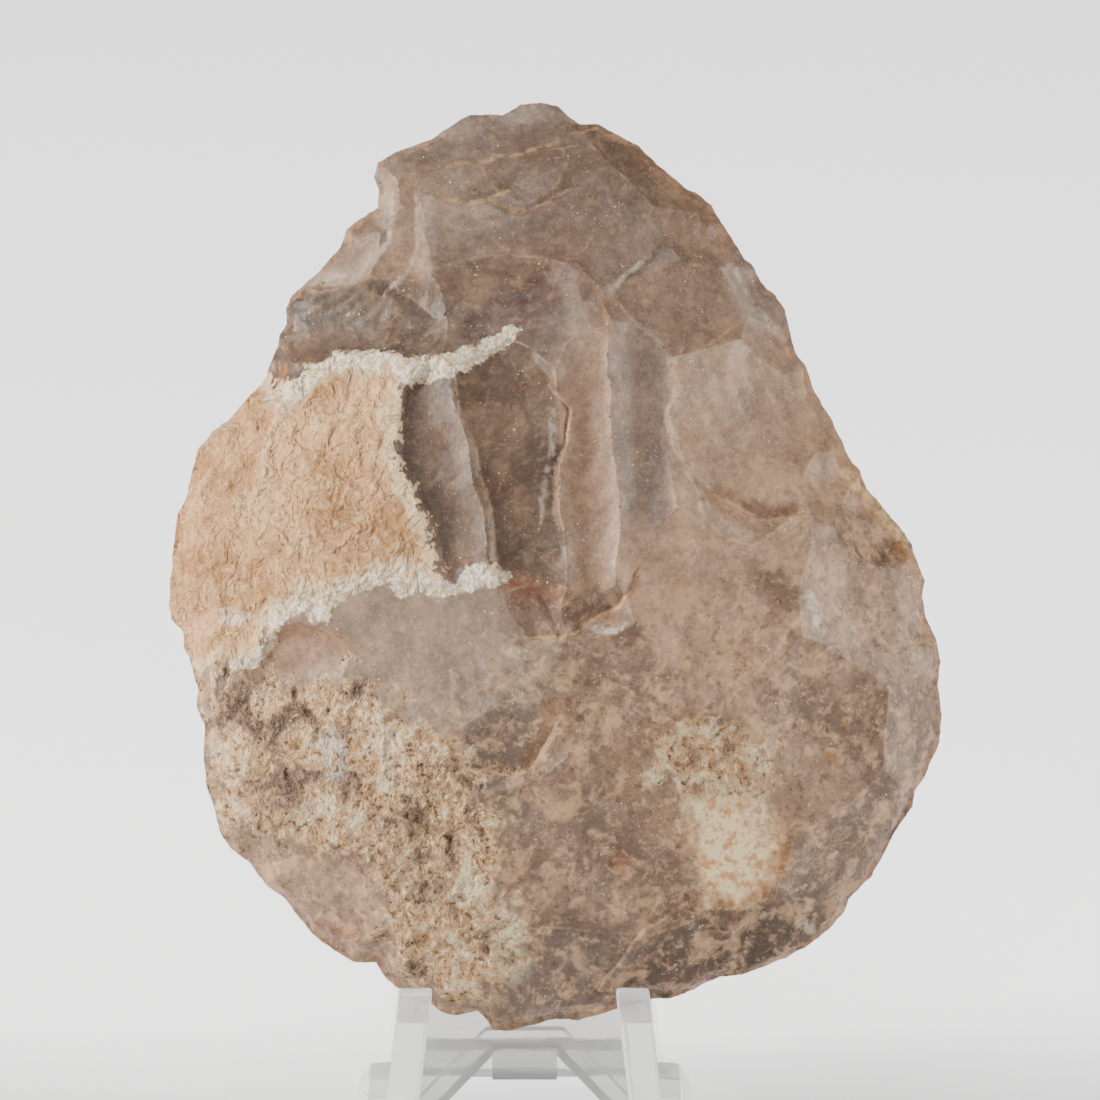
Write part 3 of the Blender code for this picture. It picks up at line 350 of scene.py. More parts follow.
# Steps in the surface where a flake ended or bit in: depth, reach on the line's left-hand side, points
STEPS = [
    (0.95, 2.6, LARGE_ARC),
    (0.85, 1.8, SMALL_ARC),
    (0.52, 1.4, BLADE_RIDGE),
    (0.85, 1.2, [(0.5, 52.7), (0.2, 57.0), (0.3, 59.1), (0.9, 62.4), (1.1, 65.6), (-0.3, 68.1)]),
    (0.52, 0.9, [(-2.2, 40.9), (0.0, 40.9), (3.5, 43.0), (6.8, 44.3), (8.4, 47.3)]),
    (0.59, 1.3, RIGHT_CRESCENT),
    (0.59, 1.2, UPPER_CRESCENT[::-1]),
    (0.39, 1.0, INNER_CRESCENT[::-1]),
    (0.39, 0.9, FAN_ARC[::-1]),
    (0.45, 1.0, TIP_ARC),
    (0.45, 0.9, TIP_LIP),
    (0.52, 1.2, [(22.8, 76.3), (21.0, 78.6), (19.4, 81.7)]),
    (0.52, 1.0, FOOT_NOTCH),
    (0.52, 1.2, [(-21.2, 39.8), (-23.1, 41.4), (-27.0, 42.4), (-30.9, 41.4)]),
    (0.45, 1.2, FOOT_LINE),
    (0.65, 1.0, [(28.2, 57.5), (31.5, 55.2), (34.4, 51.0)]),
]

# Width over which a step rises
STEP_WIDTH = 0.7


def linear(code):
    """An sRGB hex colour as linear red, green and blue."""
    shares = [int(code[place:place + 2], 16) / 255.0 for place in (1, 3, 5)]
    return [share / 12.92 if share < 0.04045 else ((share + 0.055) / 1.055) ** 2.4 for share in shares]


def from_piece(x, y, start, end):
    """How far across and up each point is from the nearest place on a straight piece."""
    run = end - start
    share = np.clip(((x - start[0]) * run[0] + (y - start[1]) * run[1]) / (run @ run), 0.0, 1.0)
    return x - start[0] - share * run[0], y - start[1] - share * run[1]


def signed_distance(x, y, outline):
    """Distance to a closed outline, positive inside it."""
    corners = np.array(outline, float)
    nearest = np.full(x.shape, np.inf)
    inside = np.zeros(x.shape, bool)
    for start, end in zip(corners, np.roll(corners, -1, axis=0)):
        nearest = np.minimum(nearest, np.hypot(*from_piece(x, y, start, end)))
        if start[1] != end[1]:
            crossing = start[0] + (y - start[1]) / (end[1] - start[1]) * (end[0] - start[0])
            inside ^= ((start[1] <= y) != (end[1] <= y)) & (x < crossing)
    return np.where(inside, nearest, -nearest)


def line_distance(x, y, line):
    """Distance to an open line."""
    pieces = zip(np.array(line[:-1]), np.array(line[1:]))
    return np.min([np.hypot(*from_piece(x, y, start, end)) for start, end in pieces], axis=0)


def eased(share):
    """A share kept from 0 to 1 that starts and ends gently."""
    share = np.clip(share, 0.0, 1.0)
    return share * share * (3.0 - 2.0 * share)


def grain(x, y, size, seed):
    """Smooth noise from -1 to 1 whose lumps are about one size across."""
    table = np.random.default_rng(seed).uniform(-1.0, 1.0, (64, 64))
    column, row = x / size, y / size
    left, low = np.floor(column).astype(int), np.floor(row).astype(int)
    across, up = column - left, row - low
    across, up = eased(across), eased(up)
    bottom = table[left % 64, low % 64] * (1 - across) + table[(left + 1) % 64, low % 64] * across
    top = table[left % 64, (low + 1) % 64] * (1 - across) + table[(left + 1) % 64, (low + 1) % 64] * across
    return bottom * (1 - up) + top * up


def rough(x, y, size, seed, octaves=4):
    """Noise with finer and finer lumps added."""
    total = np.zeros(x.shape)
    for octave in range(octaves):
        total += grain(x + 7.3 * octave, y - 3.1 * octave, size / 2 ** octave, seed + octave) / 2 ** octave
    return total


def smooth_reach(steps=512):
    """Distance from the blank's middle to the rim by direction, without its small notches."""
    corners = np.array(RIM + RIM[:1], float)
    along = np.concatenate([[0.0], np.cumsum(np.hypot(*np.diff(corners, axis=0).T))])
    places = np.linspace(0.0, along[-1], 4 * steps, endpoint=False)
    x = np.interp(places, along, corners[:, 0]) - BLANK_MIDDLE[0]
    y = np.interp(places, along, corners[:, 1]) - BLANK_MIDDLE[1]
    turns = np.linspace(-math.pi, math.pi, steps, endpoint=False)
    reach = np.interp(turns, np.arctan2(y, x), np.hypot(x, y), period=2.0 * math.pi)
    waves = np.fft.rfft(reach)
    waves[BLANK_WAVES:] = 0.0
    return turns, np.fft.irfft(waves, steps)


def from_middle(x, y):
    """Direction and distance from the blank's middle."""
    away_x, away_y = x - BLANK_MIDDLE[0], y - BLANK_MIDDLE[1]
    return np.arctan2(away_y, away_x), np.hypot(away_x, away_y)


def scar_sink(x, y, numbers, which):
    """Sink of the chosen scar at each point, and its slope across and up, in percent."""
    rows = numbers[which]
    turn = np.radians(rows[..., 2])
    along_x, along_y = np.cos(turn), np.sin(turn)
    along = (x - rows[..., 0]) * along_x + (y - rows[..., 1]) * along_y
    aside = (y - rows[..., 1]) * along_x - (x - rows[..., 0]) * along_y
    hollow = rows[..., 6]
    sink = rows[..., 5] + hollow * (1.0 - (along / rows[..., 3]) ** 2 - (aside / rows[..., 4]) ** 2)
    fall_along = -2.0 * hollow * along / rows[..., 3] ** 2
    fall_aside = -2.0 * hollow * aside / rows[..., 4] ** 2
    return sink, fall_along * along_x - fall_aside * along_y, fall_along * along_y + fall_aside * along_x


def deepest_scars(x, y, numbers):
    """The deepest and the second deepest scar at each point, the sink, and the way to their ridge."""
    sinks = np.stack([scar_sink(x, y, numbers, index)[0] for index in range(len(numbers))])
    order = np.argsort(-sinks, axis=0)[:2]
    best = np.take_along_axis(sinks, order, axis=0)
    steep_a = scar_sink(x, y, numbers, order[0])[1:]
    steep_b = scar_sink(x, y, numbers, order[1])[1:]
    steep = np.hypot(steep_a[0] - steep_b[0], steep_a[1] - steep_b[1])
    return order[0], order[1], best[0], (best[0] - best[1]) / np.maximum(steep, 1e-6)


def rim_chips(x, y, seed, count=190):
    """Depth of the small chips that edge use and retouch left along the rim, in percent."""
    dice = np.random.default_rng(seed)
    corners = np.array(RIM)
    depth = np.zeros(x.shape)
    for _ in range(count):
        start = dice.integers(len(RIM))
        middle = corners[start] + (corners[(start + 1) % len(RIM)] - corners[start]) * dice.uniform()
        width, deep = dice.uniform(0.7, 3.6), dice.uniform(0.3, 1.1)
        share = ((x - middle[0]) ** 2 + (y - middle[1]) ** 2) / width ** 2
        depth = np.maximum(depth, deep * (1.0 - share))
    return depth


def ripples(x, y, numbers, owner):
    """Low waves in each scar, rings about the place on the rim where its flake was struck."""
    rows = numbers[owner]
    turn, away = from_middle(rows[:, 0], rows[:, 1])
    strike_x = rows[:, 0] + np.cos(turn) * rows[:, 3] * 1.3
    strike_y = rows[:, 1] + np.sin(turn) * rows[:, 3] * 1.3
    far = np.hypot(x - strike_x, y - strike_y) + 0.25 * grain(x, y, 4.0, 91)
    spacing = 1.5 + 0.6 * np.sin(owner * 2.7)
    strength = np.where(np.isin(owner, RIPPLED), 1.0, 0.18)
    return strength * np.sin(2.0 * math.pi * far / spacing + owner) * (0.6 + 0.4 * grain(x, y, 6.0, 92))


def beside_line(x, y, line):
    """Distance to an open line, negative on its right-hand side."""
    nearest = np.full(x.shape, np.inf)
    signed = np.full(x.shape, np.inf)
    for start, end in zip(np.array(line[:-1]), np.array(line[1:])):
        gap_x, gap_y = from_piece(x, y, start, end)
        gap = np.hypot(gap_x, gap_y)
        side_of = np.sign((end[0] - start[0]) * gap_y - (end[1] - start[1]) * gap_x)
        signed = np.where(gap < nearest, gap * side_of, signed)
        nearest = np.minimum(nearest, gap)
    return signed


def face_height(x, y, numbers, bulge, front):
    """Height of one face above the middle plane, in metres."""
    turns, reach = smooth_reach()
    turn, away = from_middle(x, y)
    limit = np.interp(turn, turns, reach, period=2.0 * math.pi)
    blank = bulge * (1.0 - (away / (limit * BLANK_OVERREACH)) ** BLANK_POWER)
    owner, _, sink, ridge = deepest_scars(x, y, numbers)
    calm = np.clip(ridge / RIPPLE_CALM, 0.0, 1.0)
    sink = np.maximum(sink, -UNFLAKED_RISE) + RIPPLE_HEIGHT * ripples(x, y, numbers, owner) * calm
    sink = sink + STONE_GRAIN[1] * rough(x, y, STONE_GRAIN[0], 11)
    if front:
        share = eased(signed_distance(x, y, RIND) / RIND_STEP + RIND_OVERLAP)
        fold = np.exp(-(line_distance(x, y, RIND_FOLD) / FOLD_WIDTH) ** 2)
        skin = -RIND_RISE - FOLD_HEIGHT * fold + RIND_SWELLS[1] * rough(x, y, RIND_SWELLS[0], 21)
        skin = skin + RIND_BUMPS[1] * rough(x, 0.7 * y, RIND_BUMPS[0], 25, 3)
        sink = sink * (1.0 - share) + skin * share
        crust = np.maximum(signed_distance(x, y, CRUST), signed_distance(x, y, SMALL_CRUST))
        crusty = np.clip(crust / CRUST_EDGE + 0.5, 0.0, 1.0)
        lumps = CRUST_LUMPS[1] * np.abs(rough(x, y, CRUST_LUMPS[0], 31))
        lumps = lumps + CRUST_GRAINS[1] * np.abs(rough(x, y, CRUST_GRAINS[0], 35, 3))
        sink = sink + crusty * (lumps - CRUST_RISE)
        for depth, reach, line in STEPS:
            beside = beside_line(x, y, line)
            rise = eased(beside / STEP_WIDTH + 0.5)
            sink = sink + depth * rise * np.exp(-np.maximum(beside, 0.0) / reach)
    slope = RIM_SLOPE * (1.0 + 0.16 * np.sin(5 * turn + 1.0) + 0.12 * np.sin(11 * turn + 2.0))
    slope = slope * (1.0 + SLOPE_ROUGH[1] * rough(x, y, SLOPE_ROUGH[0], 41 + front))
    inward = np.maximum(signed_distance(x, y, RIM), 0.0)
    height = np.minimum(blank / PERCENT - sink, slope * inward) - rim_chips(x, y, 51 + front)
    return np.maximum(height, LEAST_SLOPE * inward) * PERCENT


def middle_plane(x, y):
    """The slightly winding surface that both faces meet on at the rim, in metres."""
    turn, away = from_middle(x, y)
    return RIM_WAVE * (away / 50.0) ** 2 * (0.6 * np.sin(3 * turn + 0.7) + 0.4 * np.sin(7 * turn))


def rim_points():
    """The rim's corners with even steps between them, and the small serration of a flaked edge."""
    points = []
    for start, end in zip(RIM, RIM[1:] + RIM[:1]):
        steps = max(1, math.ceil(math.dist(start, end) / RIM_CELL))
        for step in range(steps):
            share = step / steps
            points.append((start[0] + (end[0] - start[0]) * share, start[1] + (end[1] - start[1]) * share))
    points = np.array(points)
    turn, away = from_middle(points[:, 0], points[:, 1])
    tooth = 0.16 * rough(points[:, 0], points[:, 1], 1.6, 61, 3)
    tooth[np.argmax(points[:, 1])] = 0.0
    return points - np.stack([np.cos(turn), np.sin(turn)], axis=1) * np.abs(tooth)[:, None]


def inner_points(cell, numbers, rim):
    """A triangular lattice inside the rim, with points near a ridge moved onto it."""
    rows = np.arange(-1.0, 101.0, cell * math.sqrt(3.0) / 2.0)
    columns = np.arange(-43.0, 43.0, cell)
    x = (columns[None, :] + 0.5 * cell * (np.arange(len(rows)) % 2)[:, None]).ravel()
    y = np.repeat(rows, len(columns))
    inside = signed_distance(x, y, RIM) > POINT_KEEP * cell
    x, y = x[inside], y[inside]
    if cell > RIM_CELL:
        inside = signed_distance(x, y, rim) > POINT_KEEP * cell
        x, y = x[inside], y[inside]
    first, second, _, _ = deepest_scars(x, y, numbers)
    new_x, new_y = x.copy(), y.copy()
    for _ in range(RIDGE_ROUNDS):
        sink_a, run_a, rise_a = scar_sink(new_x, new_y, numbers, first)
        sink_b, run_b, rise_b = scar_sink(new_x, new_y, numbers, second)
        slope_x, slope_y = run_a - run_b, rise_a - rise_b
        scale = (sink_a - sink_b) / np.maximum(slope_x ** 2 + slope_y ** 2, 1e-9)
        new_x, new_y = new_x - scale * slope_x, new_y - scale * slope_y
    moved = np.hypot(new_x - x, new_y - y) < RIDGE_SNAP * cell
    moved &= signed_distance(new_x, new_y, RIM) > POINT_KEEP * cell
    return np.stack([np.where(moved, new_x, x), np.where(moved, new_y, y)], axis=1)


def triangulated(rim, inner):
    """Triangles that fill the rim through the inner points."""
    places = np.vstack([rim, inner])
    border = list(range(len(rim)))
    edges = list(zip(border, border[1:] + border[:1]))
    result = delaunay_2d_cdt([Vector(place) for place in places], edges, [], 0, 1e-7, True)
    triangles = np.array([[result[3][corner][0] for corner in face] for face in result[2]])
    x, y = places[triangles].mean(axis=1).T
    inside = signed_distance(x, y, rim) > 0.001
    return triangles[inside]


def back_scars():
    """The back's scars: a ring struck inward from the rim, then the middle ones."""
    turns, reach = smooth_reach()
    jitter = np.random.default_rng(7)
    scars = []
    for index in range(BACK_RING_COUNT):
        turn = 2.0 * math.pi * (index + jitter.uniform(-0.2, 0.2)) / BACK_RING_COUNT - math.pi
        away = np.interp(turn, turns, reach, period=2.0 * math.pi) * BACK_RING_REACH
        length, width = np.array(BACK_RING_SIZE) * jitter.uniform(0.85, 1.12, 2)
        across = BLANK_MIDDLE[0] + away * math.cos(turn)
        up = BLANK_MIDDLE[1] + away * math.sin(turn)
        tilt = math.degrees(turn) + jitter.uniform(-14.0, 14.0)
        scars.append((across, up, tilt, length, width, *BACK_RING_SINK))
    return np.array(scars + BACK_MIDDLE_SCARS, float)


def stone_tint(x, y, numbers, tones, streaks):
    """Colour of the flint at each point: each scar's tone, drifting clouds, then the streaks, among them
    painted highlights and painted shadow.
    """
    near_x, near_y = x + 0.6 * rough(x, y, 2.6, 71, 3), y + 0.6 * rough(x, y, 2.6, 76, 3)
    sinks = np.stack([scar_sink(near_x, near_y, numbers, index)[0] for index in range(len(numbers))])
    shares = np.exp(TONE_BLEND * (sinks - sinks.max(axis=0)))
    tint = (shares / shares.sum(axis=0)).T @ np.array([linear(TONES[tone]) for tone in tones])
    cloud = rough(x, y, 9.0, 73)[:, None]
    pale, deep = np.array(linear(TONES["sand"])), np.array(linear(TONES["bark"]))
    lighter, darker = np.clip(cloud * 0.28, 0.0, 1.0), np.clip(-cloud * 0.24, 0.0, 1.0)
    tint = tint + (pale - tint) * lighter + (deep - tint) * darker
    for tone, strength, half_width, line in streaks:
        away = beside_line(x + 0.3 * grain(x, y, 1.6, 75), y + 0.3 * grain(x, y, 1.6, 76), line)
        # Painted highlights run out wide on the line's right-hand side and stop short on its left
        if tone == "painted_highlight":
            away = np.where(away < 0.0, -0.45 * away, 4.0 * away)
        share = (strength * eased(1.4 - np.abs(away) / half_width))[:, None]
        tint = tint + (np.array(linear(TONES[tone])) - tint) * share
    return np.clip(tint, 0.0, 1.0)


def add_values(mesh, name, values):
    """Store one value for each vertex under a name that the material reads."""
    colour = values.ndim == 2
    layer = mesh.attributes.new(name, "FLOAT_COLOR" if colour else "FLOAT", "POINT")
    if colour and values.shape[1] == 3:
        values = np.hstack([values, np.ones((len(values), 1))])
    layer.data.foreach_set("color" if colour else "value", values.astype(np.float32).ravel())


rim = rim_points()
front_numbers = np.array([row[:7] for row in FRONT_SCARS], float)
front_numbers[:, 6] *= np.interp(front_numbers[:, 1], (35.0, 55.0), HOLLOW_GAIN)
back_numbers = back_scars()
front_inner = inner_points(FRONT_CELL, front_numbers, rim)
back_inner = inner_points(BACK_CELL, back_numbers, rim)
front_triangles = triangulated(rim, front_inner)
back_triangles = triangulated(rim, back_inner)
back_triangles = np.where(back_triangles < len(rim), back_triangles, back_triangles + len(front_inner))
flat = np.vstack([rim, front_inner, back_inner])
drift_fade = np.clip((signed_distance(flat[:, 0], flat[:, 1], RIM) - 1.0) / 6.0, 0.0, 1.0)
drift_across, drift_up = (
    DRIFT_BROAD[1] * grain(*flat.T, DRIFT_BROAD[0], seed)
    + DRIFT_FINE[1] * rough(*flat.T, DRIFT_FINE[0], seed + 1, 2)
    for seed in (101, 104)
)
side = np.repeat([0.0, 1.0, -1.0], [len(rim), len(front_inner), len(back_inner)])
height = middle_plane(flat[:, 0], flat[:, 1])
front_rise = face_height(front_inner[:, 0], front_inner[:, 1], front_numbers, FRONT_BULGE, True)
back_rise = face_height(back_inner[:, 0], back_inner[:, 1], back_numbers, BACK_BULGE, False)
height[side > 0] += front_rise
height[side < 0] -= back_rise
drifted = flat + np.stack([drift_across, drift_up], axis=1) * drift_fade[:, None]
stone_places = np.stack([drifted[:, 0] * PERCENT, -height, drifted[:, 1] * PERCENT], axis=1)
lean = np.array(Matrix.Rotation(-LEAN, 3, "X"))
stone_places = stone_places @ lean.T
cad_tip = max((vertex.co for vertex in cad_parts["hand_axe"].data.vertices), key=lambda co: co.z)
stone_shift = np.array(cad_tip) - stone_places[np.argmax(stone_places[:, 2])]
stone_places = stone_places + stone_shift

stone_mesh = bpy.data.meshes.new("flint_axe")
triangles = np.vstack([front_triangles, back_triangles[:, ::-1]])
stone_mesh.from_pydata(stone_places.tolist(), [], triangles.tolist())
stone_mesh.update()
stone = bpy.data.objects.new("flint_axe", stone_mesh)
bpy.context.scene.collection.objects.link(stone)
stone_mesh.shade_smooth()
stone_mesh.set_sharp_from_angle(angle=SHARP_ANGLE)

front_tones = [row[7] for row in FRONT_SCARS]
back_tones = ["fawn", "slate", "clay", "smoke", "sand"] * 3
x, y = flat.T
front_tint = stone_tint(x, y, front_numbers, front_tones, STREAKS)
back_tint = stone_tint(x, y, back_numbers, back_tones, [])
add_values(stone_mesh, "tint", np.where((side >= 0)[:, None], front_tint, back_tint))
far_outside = np.full(x.shape, -9.0)
for name, outlines in (
    ("rind", [RIND]),
    ("chalk", [CHALK_ABOVE, CHALK_BELOW]),
    ("crust", [CRUST, SMALL_CRUST]),
    ("cream", [CREAM]),
):
    inward = np.max([signed_distance(x, y, outline) for outline in outlines], axis=0)
    add_values(stone_mesh, name, np.where(side >= 0, inward, far_outside) / MILLIMETRE)
# Accent marks, painted highlights among them, as a colour and a share on each vertex
accent = np.zeros((len(x), 4))
for code, strength, half_width, line in ACCENTS:
    away = line_distance(x + 0.16 * rough(x, y, 1.0, 111, 3), y + 0.16 * rough(x, y, 1.0, 115, 3), line)
    share = strength * np.clip(1.6 - away / half_width, 0.0, 1.0) * (side >= 0)
    accent[:, :3] += (np.array(linear(code)) - accent[:, :3]) * share[:, None]
    accent[:, 3] = np.maximum(accent[:, 3], share)
accent[:, :3] /= np.maximum(accent[:, 3:], 1e-3)
add_values(stone_mesh, "accent", accent)
add_values(stone_mesh, "rim", np.maximum(signed_distance(x, y, RIM), 0.0) / MILLIMETRE)
weathered = np.clip((50.0 - y + 0.55 * x + 5.0 * rough(x, y, 12.0, 81)) / 14.0, 0.0, 1.0)
add_values(stone_mesh, "weathered", np.where(side >= 0, weathered, 0.6))
front_ridge = deepest_scars(x, y, front_numbers)[3]
back_ridge = deepest_scars(x, y, back_numbers)[3]
add_values(stone_mesh, "ridge", np.where(side >= 0, front_ridge, back_ridge) / MILLIMETRE)


def add(tree, kind, out=0, settings=None, **sockets):
    """Add a node: its settings, then each socket as a value or as a link. Returns one output."""
    made = tree.nodes.new("ShaderNode" + kind)
    for name, value in (settings or {}).items():
        setattr(made, name, value)
    for name, value in sockets.items():
        socket = made.inputs[int(name[1:])] if name[0] == "_" else made.inputs[name.replace("_", " ")]
        if isinstance(value, bpy.types.NodeSocket):
            tree.links.new(value, socket)
        else:
            socket.default_value = value
    return made.outputs[out]


def colour(code):
    """An sRGB hex colour as a socket's linear value."""
    return (*linear(code), 1.0)


def per_mm(size):
    """Texture scale whose features are a number of millimetres across."""
    return 1000.0 / size


def start_material(name):
    """A new material's tree, its shader and the place on the object in metres."""
    material = bpy.data.materials.new(name)
    material.use_nodes = True
    tree = material.node_tree
    place = tree.nodes.new("ShaderNodeTexCoord").outputs["Object"]
    return material, tree, tree.nodes["Principled BSDF"], place


# Brown flint with chalk rind: a waxy grey-brown stone, clouded and flecked white, with dull tan
# rind, white chalk where the rind was cut, and a rough many-coloured crystal crust.
COLOUR_MIX = {"data_type": "RGBA"}
MULTIPLIED = {"data_type": "RGBA", "blend_type": "MULTIPLY"}
VALUE_MIX = {"data_type": "FLOAT"}
EASED = {"interpolation_type": "SMOOTHSTEP"}
TIMES = {"operation": "MULTIPLY"}
PLUS = {"operation": "ADD"}
SCALED = {"operation": "MULTIPLY_ADD"}
flint, tree, shader, place = start_material("brown_flint_with_rind")
flint_colour = add(tree, "VertexColor", 0, {"layer_name": "tint"})
for size, low, high in ((6.0, 0.84, 1.16), (1.6, 0.88, 1.12), (0.5, 0.86, 1.14)):
    mottle = add(tree, "TexNoise", Vector=place, Scale=per_mm(size), Detail=3.0, Roughness=0.62)
    mottle = add(tree, "MapRange", 0, EASED, _0=mottle, _1=0.32, _2=0.68, _3=low, _4=high)
    shade = add(tree, "CombineColor", _0=mottle, _1=mottle, _2=mottle)
    flint_colour = add(tree, "Mix", 2, MULTIPLIED, _0=1.0, _6=flint_colour, _7=shade)

# Clouds in the flint: size in millimetres, warp, noise where they start and are full, strength on
# fresh and on weathered flint, and colour
weathered_share = add(tree, "Attribute", "Fac", {"attribute_name": "weathered"})
for size, warp, start, full, fresh, weathered, code in (
    (7.0, 0.5, 0.54, 0.72, 0.22, 0.30, "#7d4a30"),
    (9.0, 0.6, 0.52, 0.66, 0.00, 0.62, "#69554a"),
    (5.0, 0.5, 0.48, 0.66, 0.14, 0.75, "#c9a27e"),
    (2.0, 0.4, 0.50, 0.68, 0.16, 0.62, "#d6b08a"),
    (1.3, 0.3, 0.51, 0.68, 0.14, 0.62, "#5a473c"),
):
    cloud = add(tree, "TexNoise", Vector=place, Scale=per_mm(size), Detail=4.0, Roughness=0.66,
                Distortion=warp)
    cloud = add(tree, "MapRange", 0, EASED, _0=cloud, _1=start, _2=full)
    strength = add(tree, "MapRange", _0=weathered_share, _3=fresh, _4=weathered)
    cloud = add(tree, "Math", 0, TIMES, _0=cloud, _1=strength)
    flint_colour = add(tree, "Mix", 2, COLOUR_MIX, _0=cloud, _6=flint_colour, _7=colour(code))

# Thin pale scratches: contour lines of a warped noise, in patches
scratch = add(tree, "TexNoise", Vector=place, Scale=per_mm(2.6), Detail=3.0,
              Roughness=0.55, Distortion=0.7)
scratch = add(tree, "Math", 0, {"operation": "SUBTRACT"}, _0=scratch, _1=0.5)
scratch = add(tree, "Math", 0, {"operation": "ABSOLUTE"}, _0=scratch)
scratch = add(tree, "MapRange", 0, EASED, _0=scratch, _1=0.0, _2=0.016, _3=1.0, _4=0.0)
patches = add(tree, "TexNoise", Vector=place, Scale=per_mm(6.0), Detail=4.0, Roughness=0.6)
patches = add(tree, "MapRange", 0, EASED, _0=patches, _1=0.50, _2=0.62)
scratch = add(tree, "Math", 0, TIMES, _0=scratch, _1=patches)
strength = add(tree, "MapRange", _0=weathered_share, _3=0.12, _4=0.40)
scratch = add(tree, "Math", 0, TIMES, _0=scratch, _1=strength)
flint_colour = add(tree, "Mix", 2, COLOUR_MIX, _0=scratch, _6=flint_colour, _7=colour("#e0bd92"))

# Wear: tan and crusty in patches along the rim, thin and pale along the ridges
wear_grain = add(tree, "TexNoise", Vector=place, Scale=per_mm(2.2), Detail=3.0, Roughness=0.65)
rim_wander = add(tree, "MapRange", _0=wear_grain, _1=0.34, _2=0.66, _3=-1.8, _4=2.4)
inward = add(tree, "Attribute", "Fac", {"attribute_name": "rim"})
inward = add(tree, "Math", 0, PLUS, _0=inward, _1=rim_wander)
rim_wear = add(tree, "MapRange", 0, EASED, _0=inward, _1=0.0, _2=0.9, _3=0.7, _4=0.0)
flint_colour = add(tree, "Mix", 2, COLOUR_MIX, _0=rim_wear, _6=flint_colour, _7=colour("#b08a6a"))
ridge = add(tree, "Attribute", "Fac", {"attribute_name": "ridge"})
ridge = add(tree, "MapRange", 0, EASED, _0=ridge, _1=0.05, _2=0.34, _3=1.0, _4=0.0)
broken = add(tree, "MapRange", 0, EASED, _0=wear_grain, _1=0.46, _2=0.64, _3=0.0, _4=0.42)
ridge = add(tree, "Math", 0, TIMES, _0=ridge, _1=broken)
flint_colour = add(tree, "Mix", 2, COLOUR_MIX, _0=ridge, _6=flint_colour, _7=colour("#c09a76"))

# White flecks in the flint, coarse and fine
patches = add(tree, "TexNoise", Vector=place, Scale=per_mm(3.5), Detail=4.0)
patches = add(tree, "MapRange", 0, EASED, _0=patches, _1=0.46, _2=0.62)
for size, start, full, strength in ((1.5, 0.12, 0.05, 0.85), (0.6, 0.2, 0.08, 0.5)):
    fleck = add(tree, "TexVoronoi", Vector=place, Scale=per_mm(size))
    fleck = add(tree, "MapRange", 0, EASED, _0=fleck, _1=full, _2=start, _3=strength, _4=0.0)
    fleck = add(tree, "Math", 0, TIMES, _0=fleck, _1=patches)
    flint_colour = add(tree, "Mix", 2, COLOUR_MIX, _0=fleck, _6=flint_colour, _7=colour("#efe6d4"))

# Rind: tan, with worm-like bumps whose raised tops are painted paler, partly the rind's own colour and
# partly painted highlight, dark pits, orange stains and a cream inner border
rind_cloud = add(tree, "TexNoise", Vector=place, Scale=per_mm(10.0), Detail=4.0, Roughness=0.6)
rind_cloud = add(tree, "MapRange", 0, EASED, _0=rind_cloud, _1=0.35, _2=0.65)
rind_colour = add(tree, "Mix", 2, COLOUR_MIX, _0=rind_cloud, _6=colour("#b5885f"), _7=colour("#dfae84"))
rind_inward = add(tree, "Attribute", "Fac", {"attribute_name": "rind"})
worm = add(tree, "TexNoise", Vector=place, Scale=per_mm(1.7), Detail=3.0,
           Roughness=0.6, Distortion=1.0)
# The bumps' raised tops painted paler, partly the rind's own colour and partly painted highlight
worm_tops_pale_and_highlight = add(tree, "MapRange", 0, EASED, _0=worm, _1=0.48, _2=0.66, _4=0.45)
rind_colour = add(tree, "Mix", 2, COLOUR_MIX, _0=worm_tops_pale_and_highlight, _6=rind_colour, _7=colour("#efd3a6"))
pits = add(tree, "TexNoise", Vector=place, Scale=per_mm(0.7), Detail=2.0, Roughness=0.7)
pits = add(tree, "MapRange", 0, EASED, _0=pits, _1=0.53, _2=0.66, _4=0.7)
rind_colour = add(tree, "Mix", 2, COLOUR_MIX, _0=pits, _6=rind_colour, _7=colour("#9a6f4c"))
zones = add(tree, "TexNoise", Vector=place, Scale=per_mm(6.0), Detail=4.0,
            Roughness=0.66, Distortion=0.8)
stain = add(tree, "MapRange", 0, EASED, _0=zones, _1=0.57, _2=0.72, _4=0.5)
rind_colour = add(tree, "Mix", 2, COLOUR_MIX, _0=stain, _6=rind_colour, _7=colour("#b3743f"))
border = add(tree, "TexNoise", Vector=place, Scale=per_mm(2.0), Detail=3.0, Roughness=0.65)
border = add(tree, "MapRange", _0=border, _1=0.3, _2=0.7, _3=-1.6, _4=1.6)
border = add(tree, "Math", 0, PLUS, _0=rind_inward, _1=border)
cream_rim = add(tree, "MapRange", 0, EASED, _0=border, _1=0.8, _2=3.2, _3=0.7, _4=0.0)
rind_colour = add(tree, "Mix", 2, COLOUR_MIX, _0=cream_rim, _6=rind_colour, _7=colour("#efd9b0"))
rind_mask = add(tree, "MapRange", 0, EASED, _0=border, _1=-0.15, _2=0.35)
surface = add(tree, "Mix", 2, COLOUR_MIX, _0=rind_mask, _6=flint_colour, _7=rind_colour)

